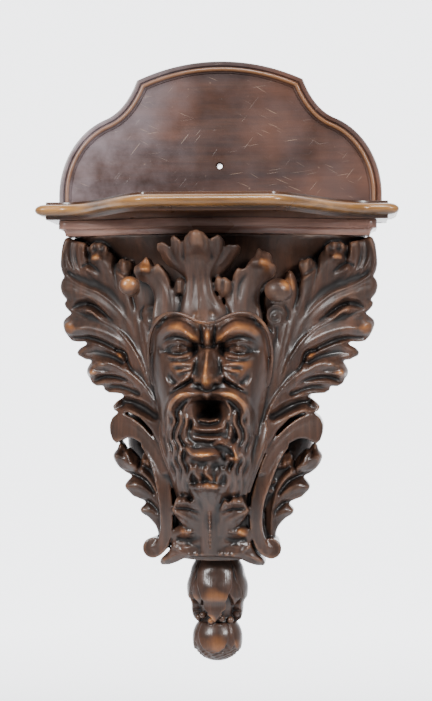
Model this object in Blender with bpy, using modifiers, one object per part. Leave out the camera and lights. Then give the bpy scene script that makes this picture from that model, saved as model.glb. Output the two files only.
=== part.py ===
"""Carved wooden corbel bracket: a wall shelf carried by a leaf-and-mask corbel.

X runs along the wall, Y into the wall and Z up, in metres. The origin lies on
the wall plane, on the centre line, at the height of the shelf's top surface.
"""

import math

import bmesh
import bpy
import numpy as np
from mathutils import Matrix, Vector

# Gap left between two pieces that rest on each other.
JOINT_GAP = 0.0003

# The shelf board, with a serpentine front and a rounded nose.
SHELF_WIDTH = 0.372
SHELF_MIDDLE_DEPTH = 0.200
SHELF_END_DEPTH = 0.084
SHELF_BOW_START = 0.060
SHELF_BOW_END = 0.160
SHELF_CORNER_RADIUS = 0.012
SHELF_UPPER_FILLET = 0.0025
SHELF_NOSE_THICKNESS = 0.0120
SHELF_LOWER_FILLET = 0.0035
SHELF_NOSE_PROJECTION = 0.0110

# The bed board under the shelf, with a cove along its lower edge.
BED_WIDTH = 0.328
BED_MIDDLE_DEPTH = 0.100
BED_END_DEPTH = 0.064
BED_BOW_START = 0.030
BED_BOW_END = 0.150
BED_CORNER_RADIUS = 0.009
BED_FACE_HEIGHT = 0.0085
BED_COVE = 0.0070

# The shaped backboard, with a moulding worked along its edge.
BACKBOARD_WIDTH = 0.340
BACKBOARD_RISE = 0.152
BACKBOARD_THICKNESS = 0.0182
BACKBOARD_RECESS = 0.0042
BACKBOARD_SHOULDER_WIDTH = 0.1746
BACKBOARD_SHOULDER_RISE = 0.1326
BACKBOARD_SIDE_RADIUS = 0.075
BACKBOARD_SIDE_STRAIGHT = 0.011
SCREW_HOLE_RISE = 0.042
SCREW_HOLE_RADIUS = 0.0028
SCREW_HEAD_RADIUS = 0.0050
SCREW_HEAD_DEPTH = 0.0030

# The carved corbel, as large as its leaves reach.
CARVING_WIDTH = 0.332
CARVING_HEIGHT = 0.338
CARVING_DEPTH = 0.200

# The pendant drop under the corbel.
PENDANT_LENGTH = 0.107
PENDANT_BUD_RADIUS = 0.0318
PENDANT_BALL_RADIUS = 0.0258
PENDANT_WALL_DISTANCE = 0.045
PENDANT_PETALS = 4
PENDANT_BERRIES = 12
PENDANT_BERRY_RADIUS = 0.0046

# How finely the carved pieces are cut, and the faces that they keep.
CARVING_GRAIN = 0.0022
CARVING_FACES = 6600
PENDANT_GRAIN = 0.0012
PENDANT_FACES = 1300
STRIP_STEPS = 12

SHELF_THICKNESS = SHELF_UPPER_FILLET + SHELF_NOSE_THICKNESS + SHELF_LOWER_FILLET
BED_HEIGHT = BED_FACE_HEIGHT + BED_COVE
BED_TOP = -SHELF_THICKNESS - JOINT_GAP
BACKBOARD_FIELD = BACKBOARD_THICKNESS - BACKBOARD_RECESS
CARVING_TOP = BED_TOP - BED_HEIGHT - JOINT_GAP
CARVING_BOTTOM = CARVING_TOP - CARVING_HEIGHT

# The carver's pattern is drawn flat, 332 wide, 338 high and 200 deep: x to the
# right of the centre line, y up from the foot, z out from the wall.
PATTERN_WIDTH = 332.0
PATTERN_HEIGHT = 338.0
PATTERN_DEPTH = 200.0
PATTERN_SCALE = Vector((
    CARVING_WIDTH / PATTERN_WIDTH,
    CARVING_HEIGHT / PATTERN_HEIGHT,
    CARVING_DEPTH / PATTERN_DEPTH,
))
ON_THE_WALL = Matrix.Translation((0, 0, CARVING_BOTTOM)) @ Matrix.Rotation(math.pi / 2, 4, "X")


def clear_scene():
    for obj in list(bpy.data.objects):
        bpy.data.objects.remove(obj)


def new_collection(name):
    collection = bpy.data.collections.new(name)
    bpy.context.scene.collection.children.link(collection)
    return collection


def wood(name, colour, roughness):
    material = bpy.data.materials.new(name)
    material.use_nodes = True
    shader = material.node_tree.nodes["Principled BSDF"]
    shader.inputs["Base Color"].default_value = (*colour, 1)
    shader.inputs["Roughness"].default_value = roughness
    shader.inputs["Metallic"].default_value = 0
    return material


def add_object(name, mesh, collection, material=None):
    obj = bpy.data.objects.new(name, mesh)
    collection.objects.link(obj)
    if material:
        mesh.materials.clear()
        mesh.materials.append(material)
    return obj


def mesh_of(bm, name):
    bmesh.ops.recalc_face_normals(bm, faces=bm.faces)
    mesh = bpy.data.meshes.new(name)
    bm.to_mesh(mesh)
    bm.free()
    return mesh


def cut_flat(bm, point, outward):
    """Takes away what lies beyond a plane and closes the cut with a flat face."""
    bmesh.ops.bisect_plane(
        bm, geom=bm.verts[:] + bm.edges[:] + bm.faces[:], dist=1e-6,
        plane_co=point, plane_no=outward, clear_outer=True,
    )
    bmesh.ops.holes_fill(bm, edges=[e for e in bm.edges if e.is_boundary], sides=0)


def step_edge(bm, face, steps, upwards):
    """Works a moulding round a face: each step is (distance in, distance along)."""
    for inwards, along in steps:
        if inwards > 0:
            bmesh.ops.inset_region(
                bm, faces=[face], thickness=inwards, use_even_offset=True, use_boundary=True
            )
        else:
            made = bmesh.ops.extrude_face_region(bm, geom=[face])
            bmesh.ops.delete(bm, geom=[face], context="FACES_ONLY")
            face = next(g for g in made["geom"] if isinstance(g, bmesh.types.BMFace))
        for vert in face.verts:
            vert.co += upwards * along
    return face


def moulded_board(outline, upwards, upper_steps, lower_steps):
    """A board whose outline is its widest line, stepped in above and below it."""
    bm = bmesh.new()
    face = bm.faces.new([bm.verts.new(point) for point in outline])
    bm.normal_update()
    if face.normal.dot(upwards) < 0:
        face.normal_flip()
    lower = bmesh.ops.extrude_face_region(bm, geom=[face])["geom"]
    lower = next(g for g in lower if isinstance(g, bmesh.types.BMFace))
    step_edge(bm, face, upper_steps, upwards)
    step_edge(bm, lower, lower_steps, -upwards)
    bmesh.ops.remove_doubles(bm, verts=bm.verts, dist=1e-6)
    return bm


def turned(profile, around):
    """A round solid from (radius, height) pairs, with a flat at each end."""
    bm = bmesh.new()
    rings = [
        [
            bm.verts.new((radius * math.cos(a), radius * math.sin(a), height))
            for a in (2 * math.pi * i / around for i in range(around))
        ]
        for radius, height in profile
    ]
    for low, high in zip(rings, rings[1:]):
        for i in range(around):
            j = (i + 1) % around
            bm.faces.new((low[i], low[j], high[j], high[i]))
    bm.faces.new(rings[0][::-1])
    bm.faces.new(rings[-1])
    return bm


def smooth_share(share):
    """Runs from 0 to 1 with a soft start and end."""
    share = min(1.0, max(0.0, share))
    return 0.5 - 0.5 * math.cos(math.pi * share)


def serpentine(width, middle_depth, end_depth, bow_start, bow_end, corner, back, steps=22):
    """A plan outline: straight at the back, and bowed forward in the middle of the front."""
    half = width / 2
    front = []
    for i in range(steps + 1):
        x = (half - corner) * i / steps
        fall = smooth_share((x - bow_start) / (bow_end - bow_start))
        front.append((x, middle_depth + (end_depth - middle_depth) * fall))
    for i in range(1, 6):
        angle = math.pi / 2 * i / 5
        front.append((
            half - corner + corner * math.sin(angle),
            end_depth - corner + corner * math.cos(angle),
        ))
    right = [(x, -depth) for x, depth in front]
    left = [(-x, y) for x, y in reversed(right[1:])]
    return [(half, back)] + right[::-1] + left[::-1] + [(-half, back)]


def half_round(projection, height, steps=5):
    """Steps in and along that turn a board's edge through a quarter of an ellipse."""
    points = [
        (projection * (1 - math.cos(a)), height * math.sin(a))
        for a in (math.pi / 2 * i / steps for i in range(steps + 1))
    ]
    return [(b[0] - a[0], b[1] - a[1]) for a, b in zip(points, points[1:])]


def hollow(size, steps=4):
    """Steps in and along that cut a quarter-round cove."""
    points = [
        (size * math.sin(a), size * (1 - math.cos(a)))
        for a in (math.pi / 2 * i / steps for i in range(steps + 1))
    ]
    return [(b[0] - a[0], b[1] - a[1]) for a, b in zip(points, points[1:])]


def box_cutter(name, low, high, cutters):
    """A box between two corners, kept out of the render, for a Boolean."""
    bpy.ops.mesh.primitive_cube_add(size=1, location=[(a + b) / 2 for a, b in zip(low, high)])
    box = bpy.context.object
    box.name = name
    box.scale = [b - a for a, b in zip(low, high)]
    for owner in box.users_collection:
        owner.objects.unlink(box)
    cutters.objects.link(box)
    box.hide_render = True
    box.display_type = "WIRE"
    return box


def join_or_cut(obj, other, operation):
    other.hide_render = True
    other.display_type = "WIRE"
    change = obj.modifiers.new(other.name, "BOOLEAN")
    change.operation = operation
    change.object = other


def make_shelf(collection, cutters, material):
    """The shelf board, notched at the back round the backboard's foot."""
    back = 0.0
    beyond = 0.02
    widest = -SHELF_UPPER_FILLET - SHELF_NOSE_THICKNESS / 2
    outline = serpentine(
        SHELF_WIDTH, SHELF_MIDDLE_DEPTH, SHELF_END_DEPTH, SHELF_BOW_START, SHELF_BOW_END,
        SHELF_CORNER_RADIUS, back + beyond,
    )
    nose = half_round(SHELF_NOSE_PROJECTION, SHELF_NOSE_THICKNESS / 2)
    bm = moulded_board(
        [(x, y, widest) for x, y in outline],
        Vector((0, 0, 1)),
        nose + [(0, SHELF_UPPER_FILLET)],
        nose + [(0, SHELF_LOWER_FILLET)],
    )
    cut_flat(bm, (0, back, 0), (0, 1, 0))
    shelf = add_object("shelf", mesh_of(bm, "shelf"), collection, material)
    half = BACKBOARD_WIDTH / 2 + JOINT_GAP
    notch = box_cutter(
        "shelf_notch", (-half, -BACKBOARD_THICKNESS - JOINT_GAP, -2 * SHELF_THICKNESS),
        (half, beyond, SHELF_THICKNESS), cutters,
    )
    join_or_cut(shelf, notch, "DIFFERENCE")
    return shelf


def make_bed_board(collection, material):
    back = 0.0
    beyond = 0.02
    outline = serpentine(
        BED_WIDTH, BED_MIDDLE_DEPTH, BED_END_DEPTH, BED_BOW_START, BED_BOW_END,
        BED_CORNER_RADIUS, back + beyond, steps=14,
    )
    cove = [(along, inwards) for inwards, along in hollow(BED_COVE)][::-1]
    bm = moulded_board(
        [(x, y, BED_TOP - BED_FACE_HEIGHT) for x, y in outline],
        Vector((0, 0, 1)),
        [(0, BED_FACE_HEIGHT)],
        cove,
    )
    cut_flat(bm, (0, back, 0), (0, 1, 0))
    return add_object("bed_board", mesh_of(bm, "bed_board"), collection, material)


def bezier(a, b, c, d, steps):
    """Points of a cubic curve, without its first one."""
    made = []
    for i in range(1, steps + 1):
        t = i / steps
        weights = ((1 - t) ** 3, 3 * t * (1 - t) ** 2, 3 * t * t * (1 - t), t ** 3)
        made.append(tuple(sum(w * p[k] for w, p in zip(weights, (a, b, c, d))) for k in (0, 1)))
    return made


def backboard_outline(bottom):
    """Half an outline in x and z: a straight foot, a swelling side, a hollow and a low arch."""
    half = BACKBOARD_WIDTH / 2
    shoulder = (BACKBOARD_SHOULDER_WIDTH / 2, BACKBOARD_SHOULDER_RISE)
    centre = (half - BACKBOARD_SIDE_RADIUS, BACKBOARD_SIDE_STRAIGHT)
    side_height = BACKBOARD_SHOULDER_RISE - BACKBOARD_SIDE_STRAIGHT - 0.0356
    points = [(half, bottom)]
    last = math.radians(70)
    for i in range(13):
        angle = last * i / 12
        points.append((
            centre[0] + BACKBOARD_SIDE_RADIUS * math.cos(angle),
            centre[1] + side_height * math.sin(angle),
        ))
    start = points[-1]
    reach = 0.018
    leaving = Vector((-BACKBOARD_SIDE_RADIUS * math.sin(last), side_height * math.cos(last))).normalized()
    arriving = Vector((-0.35, 0.94)).normalized()
    points += bezier(
        start,
        (start[0] + leaving.x * reach, start[1] + leaving.y * reach),
        (shoulder[0] - arriving.x * reach, shoulder[1] - arriving.y * reach),
        shoulder, 8,
    )
    rise = BACKBOARD_RISE - BACKBOARD_SHOULDER_RISE
    arch_radius = (shoulder[0] ** 2 + rise ** 2) / (2 * rise)
    for i in range(1, 10):
        x = shoulder[0] * (1 - i / 9)
        points.append((x, BACKBOARD_RISE - arch_radius + math.sqrt(arch_radius ** 2 - x * x)))
    return points


def make_backboard(collection, cutters, material):
    bottom = -SHELF_THICKNESS
    right = backboard_outline(bottom)
    outline = right + [(-x, z) for x, z in reversed(right[:-1])]
    edge = BACKBOARD_THICKNESS - 0.0020
    moulding = [
        (0, edge - 0.0012),
        (0.0012, 0.0012),
        (0.0034, 0.0),
        (0.0008, -0.0016),
        (0.0012, 0.0006),
        (0.0012, 0.0022),
        (0.0020, 0.0008),
        (0.0016, -0.0012),
        (0.0008, -0.0014),
        (0.0010, 0.0026 - BACKBOARD_RECESS),
    ]
    bm = moulded_board(
        [(x, 0, z) for x, z in outline], Vector((0, -1, 0)), moulding, [],
    )
    board = add_object("backboard", mesh_of(bm, "backboard"), collection, material)

    # Behind the shelf the board is left thick, flush with the shelf's top.
    side = BACKBOARD_WIDTH / 2 - 0.0015
    foot = box_cutter(
        "board_foot", (-side, -BACKBOARD_THICKNESS + 0.0002, bottom + 0.0015),
        (side, -BACKBOARD_FIELD / 2, 0), cutters,
    )
    screw = add_object("screw_hole", mesh_of(turned((
        (SCREW_HOLE_RADIUS, -0.02),
        (SCREW_HOLE_RADIUS, BACKBOARD_FIELD - SCREW_HEAD_DEPTH),
        (SCREW_HEAD_RADIUS, BACKBOARD_FIELD),
        (SCREW_HEAD_RADIUS + 0.01, BACKBOARD_FIELD + 0.01),
    ), 16), "screw_hole"), cutters)
    screw.matrix_world = Matrix.Translation((0, 0, SCREW_HOLE_RISE)) @ Matrix.Rotation(math.pi / 2, 4, "X")
    join_or_cut(board, foot, "UNION")
    join_or_cut(board, screw, "DIFFERENCE")
    return board


# The pattern of the carving. Every side form is given for the right and mirrored.
# Each strip is a path and a row of half-widths, evenly spread from root to tip.
def lean(x):
    """How far the leaves stand out from the wall at a distance from the centre line."""
    return 140 - 0.58 * abs(x)


# Where the big leaf's stem runs, beside the beard and up the cheek.
STEM = ((38, 84), (45, 115), (52, 142), (59, 170), (70, 198), (78, 225))

# Big leaf: stem share where a strip leaves, shoulder, tip, half-width, rolled tip.
BIG_LEAF = (
    (0.95, (112, 304), (150, 334), 9, 0),
    (0.92, (118, 297), (161, 322), 9, 0),
    (0.90, (120, 286), (165, 305), 8, 0),
    (0.84, (114, 269), (165, 289), 9, 0),
    (0.80, (114, 259), (159, 273), 7, 0),
    (0.74, (106, 239), (159, 254), 10, 7),
    (0.70, (106, 231), (151, 239), 8, 0),
    (0.66, (102, 224), (139, 230), 6, 0),
    (0.60, (98, 213), (144, 221), 8, 6),
    (0.56, (95, 205), (132, 210), 6, 0),
    (0.50, (92, 193), (134, 199), 9, 7),
    (0.46, (90, 187), (127, 187), 7, 0),
    (0.42, (84, 181), (111, 178), 6, 0),
    (0.26, (73, 164), (106, 169), 7, 0),
    (0.22, (70, 158), (94, 161), 6, 0),
    (0.93, (98, 297), (128, 335), 8, 0),
    (0.90, (94, 288), (118, 322), 9, 8),
    (0.86, (82, 275), (94, 312), 8, 6),
    (0.82, (75, 266), (76, 300), 7, 0),
    (0.72, (68, 248), (66, 279), 9, 11),
    (0.60, (62, 230), (60, 253), 7, 6),
)

# Small leaf outside the scroll: shoulder, tip, half-width, rolled tip.
SMALL_LEAF_ROOT = (56, 26)
SMALL_LEAF = (
    ((76, 88), (106, 114), 9, 8),
    ((73, 80), (104, 102), 7, 0),
    ((68, 84), (76, 103), 6, 7),
    ((73, 62), (97, 82), 9, 0),
    ((70, 55), (88, 73), 6, 0),
    ((66, 45), (82, 56), 7, 0),
    ((62, 38), (74, 46), 5, 0),
)

# The scroll band along the corbel's edge, from its upper to its lower curl.
SCROLL_PATH = (
    (94, 146, 72), (82, 141, 80), (69, 128, 90), (59, 112, 97), (50, 92, 100),
    (45.5, 72, 99), (44, 52, 95), (45.5, 35, 91), (51, 21, 88), (58, 15, 86),
)
SCROLL_HALF_WIDTH = 6.5
SCROLL_CURLS = (((94, 139), 14, 73), ((58, 17), 11, 86))

# Height, half-width and depth of the console, the block behind the mask.
CONSOLE = (
    (7, 50, 86), (60, 52, 92), (100, 57, 98), (150, 66, 102), (200, 74, 104),
    (250, 80, 88), (285, 96, 76), (310, 118, 76), (328, 142, 84), (342, 156, 92),
)
# The block that backs the leaves on both sides of the console, against the wall.
BACKING = (
    (9, 50, 50), (30, 60, 50), (60, 72, 46), (85, 80, 44), (105, 82, 44), (130, 80, 48),
    (150, 84, 56), (200, 104, 58), (250, 122, 50), (290, 134, 46), (320, 144, 50), (341, 154, 58),
)
FOOT_LEVEL = 7.0

FLUTE = ((-1, 0.34), (-0.55, 0.06), (0, -0.04), (0.55, 0.06), (1, 0.34), (0.9, -0.35), (0, -0.9), (-0.9, -0.35))
ROUND = tuple((math.cos(a), math.sin(a)) for a in (math.pi / 4 * i for i in range(8)))
BAND = ((-1, -0.1), (-0.85, 0), (0.85, 0), (1, -0.1), (1, -9.5), (-1, -9.5))


def through(points, steps):
    """A smooth path through a few points, evenly spread in its own parameter."""
    points = [Vector(p) for p in points]
    padded = [2 * points[0] - points[1]] + points + [2 * points[-1] - points[-2]]
    made = []
    for i in range(steps):
        share = (len(points) - 1) * i / (steps - 1)
        k = min(int(share), len(points) - 2)
        t = share - k
        a, b, c, d = padded[k:k + 4]
        made.append(0.5 * (
            2 * b + (c - a) * t + (2 * a - 5 * b + 4 * c - d) * t * t + (3 * b - a - 3 * c + d) * t ** 3
        ))
    return made


def swell(widths, steps):
    """Half-widths along a strip, drawn in to a rounded point at its tip."""
    made = []
    for i in range(steps):
        share = i / (steps - 1)
        place = share * (len(widths) - 1)
        k = min(int(place), len(widths) - 2)
        width = widths[k] + (widths[k + 1] - widths[k]) * (place - k)
        made.append(width * math.sqrt(max(0.02, 1 - max(0.0, (share - 0.8) / 0.2) ** 2)))
    return made


def deepened(points, lifts):
    """Gives flat pattern points their depth from the lean of the leaves."""
    return [(x, y, lean(x) + lift) for (x, y), lift in zip(points, lifts)]


def leaf_strips():
    """Strips and rolled tips of the leaves on the right, as (path, half-widths) and (centre, radii)."""
    strips, lumps = [], []
    stem = through([(x, y, 0) for x, y in STEM], 101)
    for leaves, shoulder, tip, width, roll in BIG_LEAF:
        start = stem[max(0, int((leaves - 0.42) * 100))]
        near = stem[int(leaves * 50 + 25)] if leaves > 0.5 else stem[int(leaves * 100)]
        path = deepened([start[:2], near[:2], shoulder, tip], (-4, -2, 0, 3 if roll else 0))
        strips.append((path, (1.6, width * 0.45, width * 0.8, width)))
        if roll:
            inwards = (Vector(shoulder) - Vector(tip)).normalized() * roll * 0.4
            centre = (tip[0] + inwards.x, tip[1] + inwards.y, lean(tip[0]) + 6)
            lumps.append((centre, (roll, roll, roll)))
    root = SMALL_LEAF_ROOT
    for shoulder, tip, width, roll in SMALL_LEAF:
        path = [(*root, 54), (*shoulder, 58), (*tip, 46)]
        strips.append((path, (3, width * 0.9, width)))
        if roll:
            lumps.append(((tip[0] - roll * 0.4, tip[1], 54), (roll, roll, roll)))
    return strips, lumps


def crown_strips():
    """The leaves over the forehead: a middle plume, and a smooth leaf on the right."""
    strips = [
        ([(0, 250, 140), (0, 285, 138), (0, 315, 142), (0, 330, 156)], (8, 6, 9, 10)),
        ([(5, 250, 138), (7, 285, 134), (12, 312, 136), (15, 331, 142)], (7, 5, 8, 8)),
        ([(9, 252, 134), (12, 284, 128), (22, 308, 126), (28, 328, 128)], (7, 5, 8, 7)),
        ([(12, 254, 130), (16, 280, 122), (28, 300, 118), (42, 321, 114)], (7, 5, 8, 6)),
        ([(14, 256, 128), (19, 276, 118), (28, 292, 112), (36, 304, 112)], (6, 4, 7, 6)),
        ([(30, 256, 132), (38, 278, 124), (50, 298, 118), (58, 316, 114)], (14, 16, 13, 9)),
    ]
    lumps = [
        ((0, 328, 156), (11, 7, 9)),
        ((58, 305, 122), (9, 9, 9)),
        ((27, 285, 118), (6, 6, 6)),
    ]
    return strips, lumps


def foot_strips():
    """The leaf that rises from the foot, its side lobes, and the flared foot itself."""
    strips = [
        ([(0, 8, 88), (0, 45, 104), (0, 72, 118), (0, 88, 134)], (6, 9, 14, 17)),
        ([(8, 8, 88), (12, 40, 102), (22, 62, 110), (35, 76, 116)], (4, 8, 9, 8)),
        ([(12, 8, 88), (18, 30, 98), (28, 48, 104), (39, 61, 106)], (4, 8, 9, 8)),
        ([(16, 8, 86), (24, 18, 92), (33, 30, 94), (40, 38, 92)], (4, 6, 7, 6)),
        ([(20, 16, 80), (30, 12, 84), (42, 8, 84), (50, 6, 80)], (5, 6, 6.5, 6)),
    ]
    lumps = [
        ((0, 90, 137), (17, 6, 8)),
        ((35, 75, 118), (8, 5, 6)),
        ((28, 37, 98), (6.5, 6.5, 8)),
    ]
    return strips, lumps


def mask_forms():
    """The mask: lumps for its masses, round strands for its lids, lips and rim."""
    lumps = [
        ((0, 205, 100), (52, 60, 56)),
        ((0, 150, 100), (44, 50, 50)),
        ((19, 236, 146), (11, 9, 13)),
        ((31, 241, 140), (14, 9, 13)),
        ((43, 241, 126), (12, 9, 12)),
        ((0, 237, 148), (5.5, 9, 11)),
        ((28, 223, 138), (11, 8, 12)),
        ((33, 204, 138), (14, 10, 18)),
        ((0, 204, 152), (7, 18, 16)),
        ((0, 190, 172), (9, 8, 14)),
        ((11, 191, 160), (6.5, 6, 9)),
        ((0, 176, 150), (24, 10, 14)),
        ((0, 124, 142), (22, 11, 18)),
    ]
    strands = [
        ([(0, 247, 150), (16, 253, 148), (32, 256, 142), (46, 253, 130), (56, 241, 118), (58, 215, 112), (52, 184, 112)],
         (3, 3, 3.2, 3.2, 3.2, 3, 2.6)),
        ([(16, 222, 150), (22, 231, 152), (34, 231, 149), (50, 218, 132)], (2.2, 3, 3, 2)),
        ([(17, 218, 149), (27, 213, 150), (38, 217, 144), (46, 218, 134)], (1.8, 2.4, 2.2, 1.6)),
        ([(0, 178, 166), (14, 181, 166), (28, 180, 158), (38, 170, 146), (45, 152, 132), (46, 128, 122)],
         (6, 7, 7.5, 7, 6.5, 4)),
        ([(10, 174, 164), (24, 172, 158), (34, 160, 148), (37, 142, 140), (35, 120, 134)], (5, 6, 6, 5.5, 4)),
        ([(0, 145, 160), (10, 146, 158), (18, 150, 152), (20, 160, 148)], (4, 4, 3.5, 3)),
    ]
    return strands, lumps


def beard_strands():
    """Locks of the beard on the right, from the cheek and the chin down to the leaf."""
    strands = []
    for i in range(5):
        x = 44 - 8.5 * i
        top = 140 - 5 * i
        z = 122 + 8 * i
        wave = 3.5 * (-1) ** i
        path = [
            (x, top, z), (x - 2 + wave, top - 16, z + 2), (x - 3 - wave, top - 33, z - 4), (x - 4 + wave, top - 50, z - 14)
        ]
        strands.append((path, (5.5, 5.5, 5, 3.5)))
    return strands


def profile_curve(name, points, cutters):
    curve = bpy.data.curves.new(name, "CURVE")
    curve.dimensions = "2D"
    spline = curve.splines.new("POLY")
    spline.points.add(len(points) - 1)
    for point, (x, y) in zip(spline.points, points):
        point.co = (x, y, 0, 1)
    spline.use_cyclic_u = True
    return add_object(name, curve, cutters)


def swept_mesh(name, strips, profile, cutters):
    """Every strip swept with the profile, as one mesh lying on the bench."""
    outline = profile_curve(name + "_profile", profile, cutters)
    curve = bpy.data.curves.new(name, "CURVE")
    curve.dimensions = "3D"
    curve.twist_mode = "Z_UP"
    curve.bevel_mode = "OBJECT"
    curve.bevel_object = outline
    curve.use_fill_caps = True
    for path, widths in strips:
        spline = curve.splines.new("POLY")
        spline.points.add(STRIP_STEPS - 1)
        for point, place, width in zip(spline.points, through(path, STRIP_STEPS), swell(widths, STRIP_STEPS)):
            point.co = (place.x, place.y, place.z, 1)
            point.radius = width
    obj = add_object(name, curve, cutters)
    bpy.context.view_layer.update()
    mesh = bpy.data.meshes.new_from_object(obj.evaluated_get(bpy.context.evaluated_depsgraph_get()))
    bpy.data.objects.remove(obj)
    bpy.data.objects.remove(outline)
    return mesh


def add_lumps(bm, lumps, segments=16):
    for centre, radii in lumps:
        place = Matrix.Translation(centre) @ Matrix.Diagonal((*radii, 1))
        bmesh.ops.create_uvsphere(bm, u_segments=segments, v_segments=segments // 2, radius=1, matrix=place)


def add_block(bm, sections):
    """Lofts a block through half-oval sections, flat against the wall."""
    around = 20
    rings = []
    for y, half, depth in sections:
        ring = []
        for i in range(around + 1):
            angle = math.pi * i / around
            across, out = math.cos(angle), math.sin(angle)
            ring.append(bm.verts.new((half * across, y, depth * out ** 0.8)))
        ring += [bm.verts.new((-half, y, -6)), bm.verts.new((half, y, -6))]
        rings.append(ring)
    for low, high in zip(rings, rings[1:]):
        for i in range(len(low)):
            j = (i + 1) % len(low)
            bm.faces.new((low[i], low[j], high[j], high[i]))
    bm.faces.new(rings[0][::-1])
    bm.faces.new(rings[-1])


def mirrored(forms):
    """Adds the left-hand copy of each strip or lump that stands off the centre line."""
    made = list(forms)
    for first, second in forms:
        points = first if isinstance(first, list) else [first]
        if max(abs(p[0]) for p in points) > 0.01:
            flipped = [(-p[0], p[1], p[2]) for p in points]
            made.append((flipped if isinstance(first, list) else flipped[0], second))
    return made


def rough_carving(cutters):
    """All the forms of the corbel in one mesh, still overlapping each other, in pattern units."""
    leaf, leaf_lumps = leaf_strips()
    crown, crown_lumps = crown_strips()
    foot, foot_lumps = foot_strips()
    mask, mask_lumps = mask_forms()
    scroll = [(list(SCROLL_PATH), [SCROLL_HALF_WIDTH] * 4)]
    bm = bmesh.new()
    bm.from_mesh(swept_mesh("leaf_strips", mirrored(leaf + crown + foot), FLUTE, cutters))
    bm.from_mesh(swept_mesh("mask_strands", mirrored(mask + beard_strands()), ROUND, cutters))
    bm.from_mesh(swept_mesh("scroll_bands", mirrored(scroll), BAND, cutters))
    add_lumps(bm, mirrored(leaf_lumps + crown_lumps + foot_lumps + mask_lumps))
    for (x, y), radius, depth in SCROLL_CURLS:
        for side in (-1, 1):
            place = Matrix.Translation((side * x, y, depth / 2))
            bmesh.ops.create_cone(
                bm, cap_ends=True, segments=24, radius1=radius, radius2=radius, depth=depth, matrix=place
            )
    add_block(bm, CONSOLE)
    add_block(bm, BACKING)
    return bm


def mouth_cavity(cutters):
    """The hollow of the open mouth, cut into the finished mass."""
    bm = bmesh.new()
    add_lumps(bm, [((0, 161, 158), (15, 11, 34))])
    bm.transform(Matrix.Diagonal((*PATTERN_SCALE, 1)))
    cutter = add_object("mouth_cavity", mesh_of(bm, "mouth_cavity"), cutters)
    cutter.hide_render = True
    cutter.display_type = "WIRE"
    return cutter


def carve_solid(obj, grain, faces, cavity=None):
    """Melts the overlapping forms of a mesh into one solid and thins it to so many faces."""
    melt = obj.modifiers.new("melt", "REMESH")
    melt.mode = "VOXEL"
    melt.voxel_size = grain
    ease = obj.modifiers.new("ease", "SMOOTH")
    ease.factor = 0.5
    ease.iterations = 2
    if cavity:
        cut = obj.modifiers.new("cavity", "BOOLEAN")
        cut.operation = "DIFFERENCE"
        cut.object = cavity
    bpy.context.view_layer.update()
    graph = bpy.context.evaluated_depsgraph_get()
    before = len(obj.evaluated_get(graph).data.polygons)
    thin = obj.modifiers.new("thin", "DECIMATE")
    thin.ratio = min(1.0, faces / (2 * before))
    bpy.context.view_layer.update()
    mesh = bpy.data.meshes.new_from_object(obj.evaluated_get(bpy.context.evaluated_depsgraph_get()))
    bm = bmesh.new()
    bm.from_mesh(mesh)
    return bm


def make_corbel(collection, cutters, material):
    bm = rough_carving(cutters)
    bm.transform(Matrix.Diagonal((*PATTERN_SCALE, 1)))
    rough = add_object("rough_carving", mesh_of(bm, "rough_carving"), cutters)
    bm = carve_solid(rough, CARVING_GRAIN, CARVING_FACES, mouth_cavity(cutters))
    bpy.data.objects.remove(rough)
    cut_flat(bm, (0, 0, 0), (0, 0, -1))
    cut_flat(bm, (0, CARVING_HEIGHT, 0), (0, 1, 0))
    bm.transform(ON_THE_WALL)
    return add_object("carved_corbel", mesh_of(bm, "carved_corbel"), collection, material)


def petalled(profile, petals, around):
    """A turned form with a groove between its petals, from (radius, height, groove share)."""
    bm = bmesh.new()
    rings = []
    for radius, height, groove in profile:
        ring = []
        for i in range(around):
            angle = 2 * math.pi * i / around
            share = abs(math.cos(petals * angle / 2)) ** 6
            reach = radius * (1 - groove * share)
            ring.append(bm.verts.new((
                reach * math.sin(angle), reach * math.cos(angle), height,
            )))
        rings.append(ring)
    for low, high in zip(rings, rings[1:]):
        for i in range(around):
            j = (i + 1) % around
            bm.faces.new((low[i], low[j], high[j], high[i]))
    bm.faces.new(rings[0][::-1])
    bm.faces.new(rings[-1])
    bmesh.ops.rotate(bm, verts=bm.verts, matrix=Matrix.Rotation(math.pi / petals, 3, "Z"))
    return bm


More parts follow.
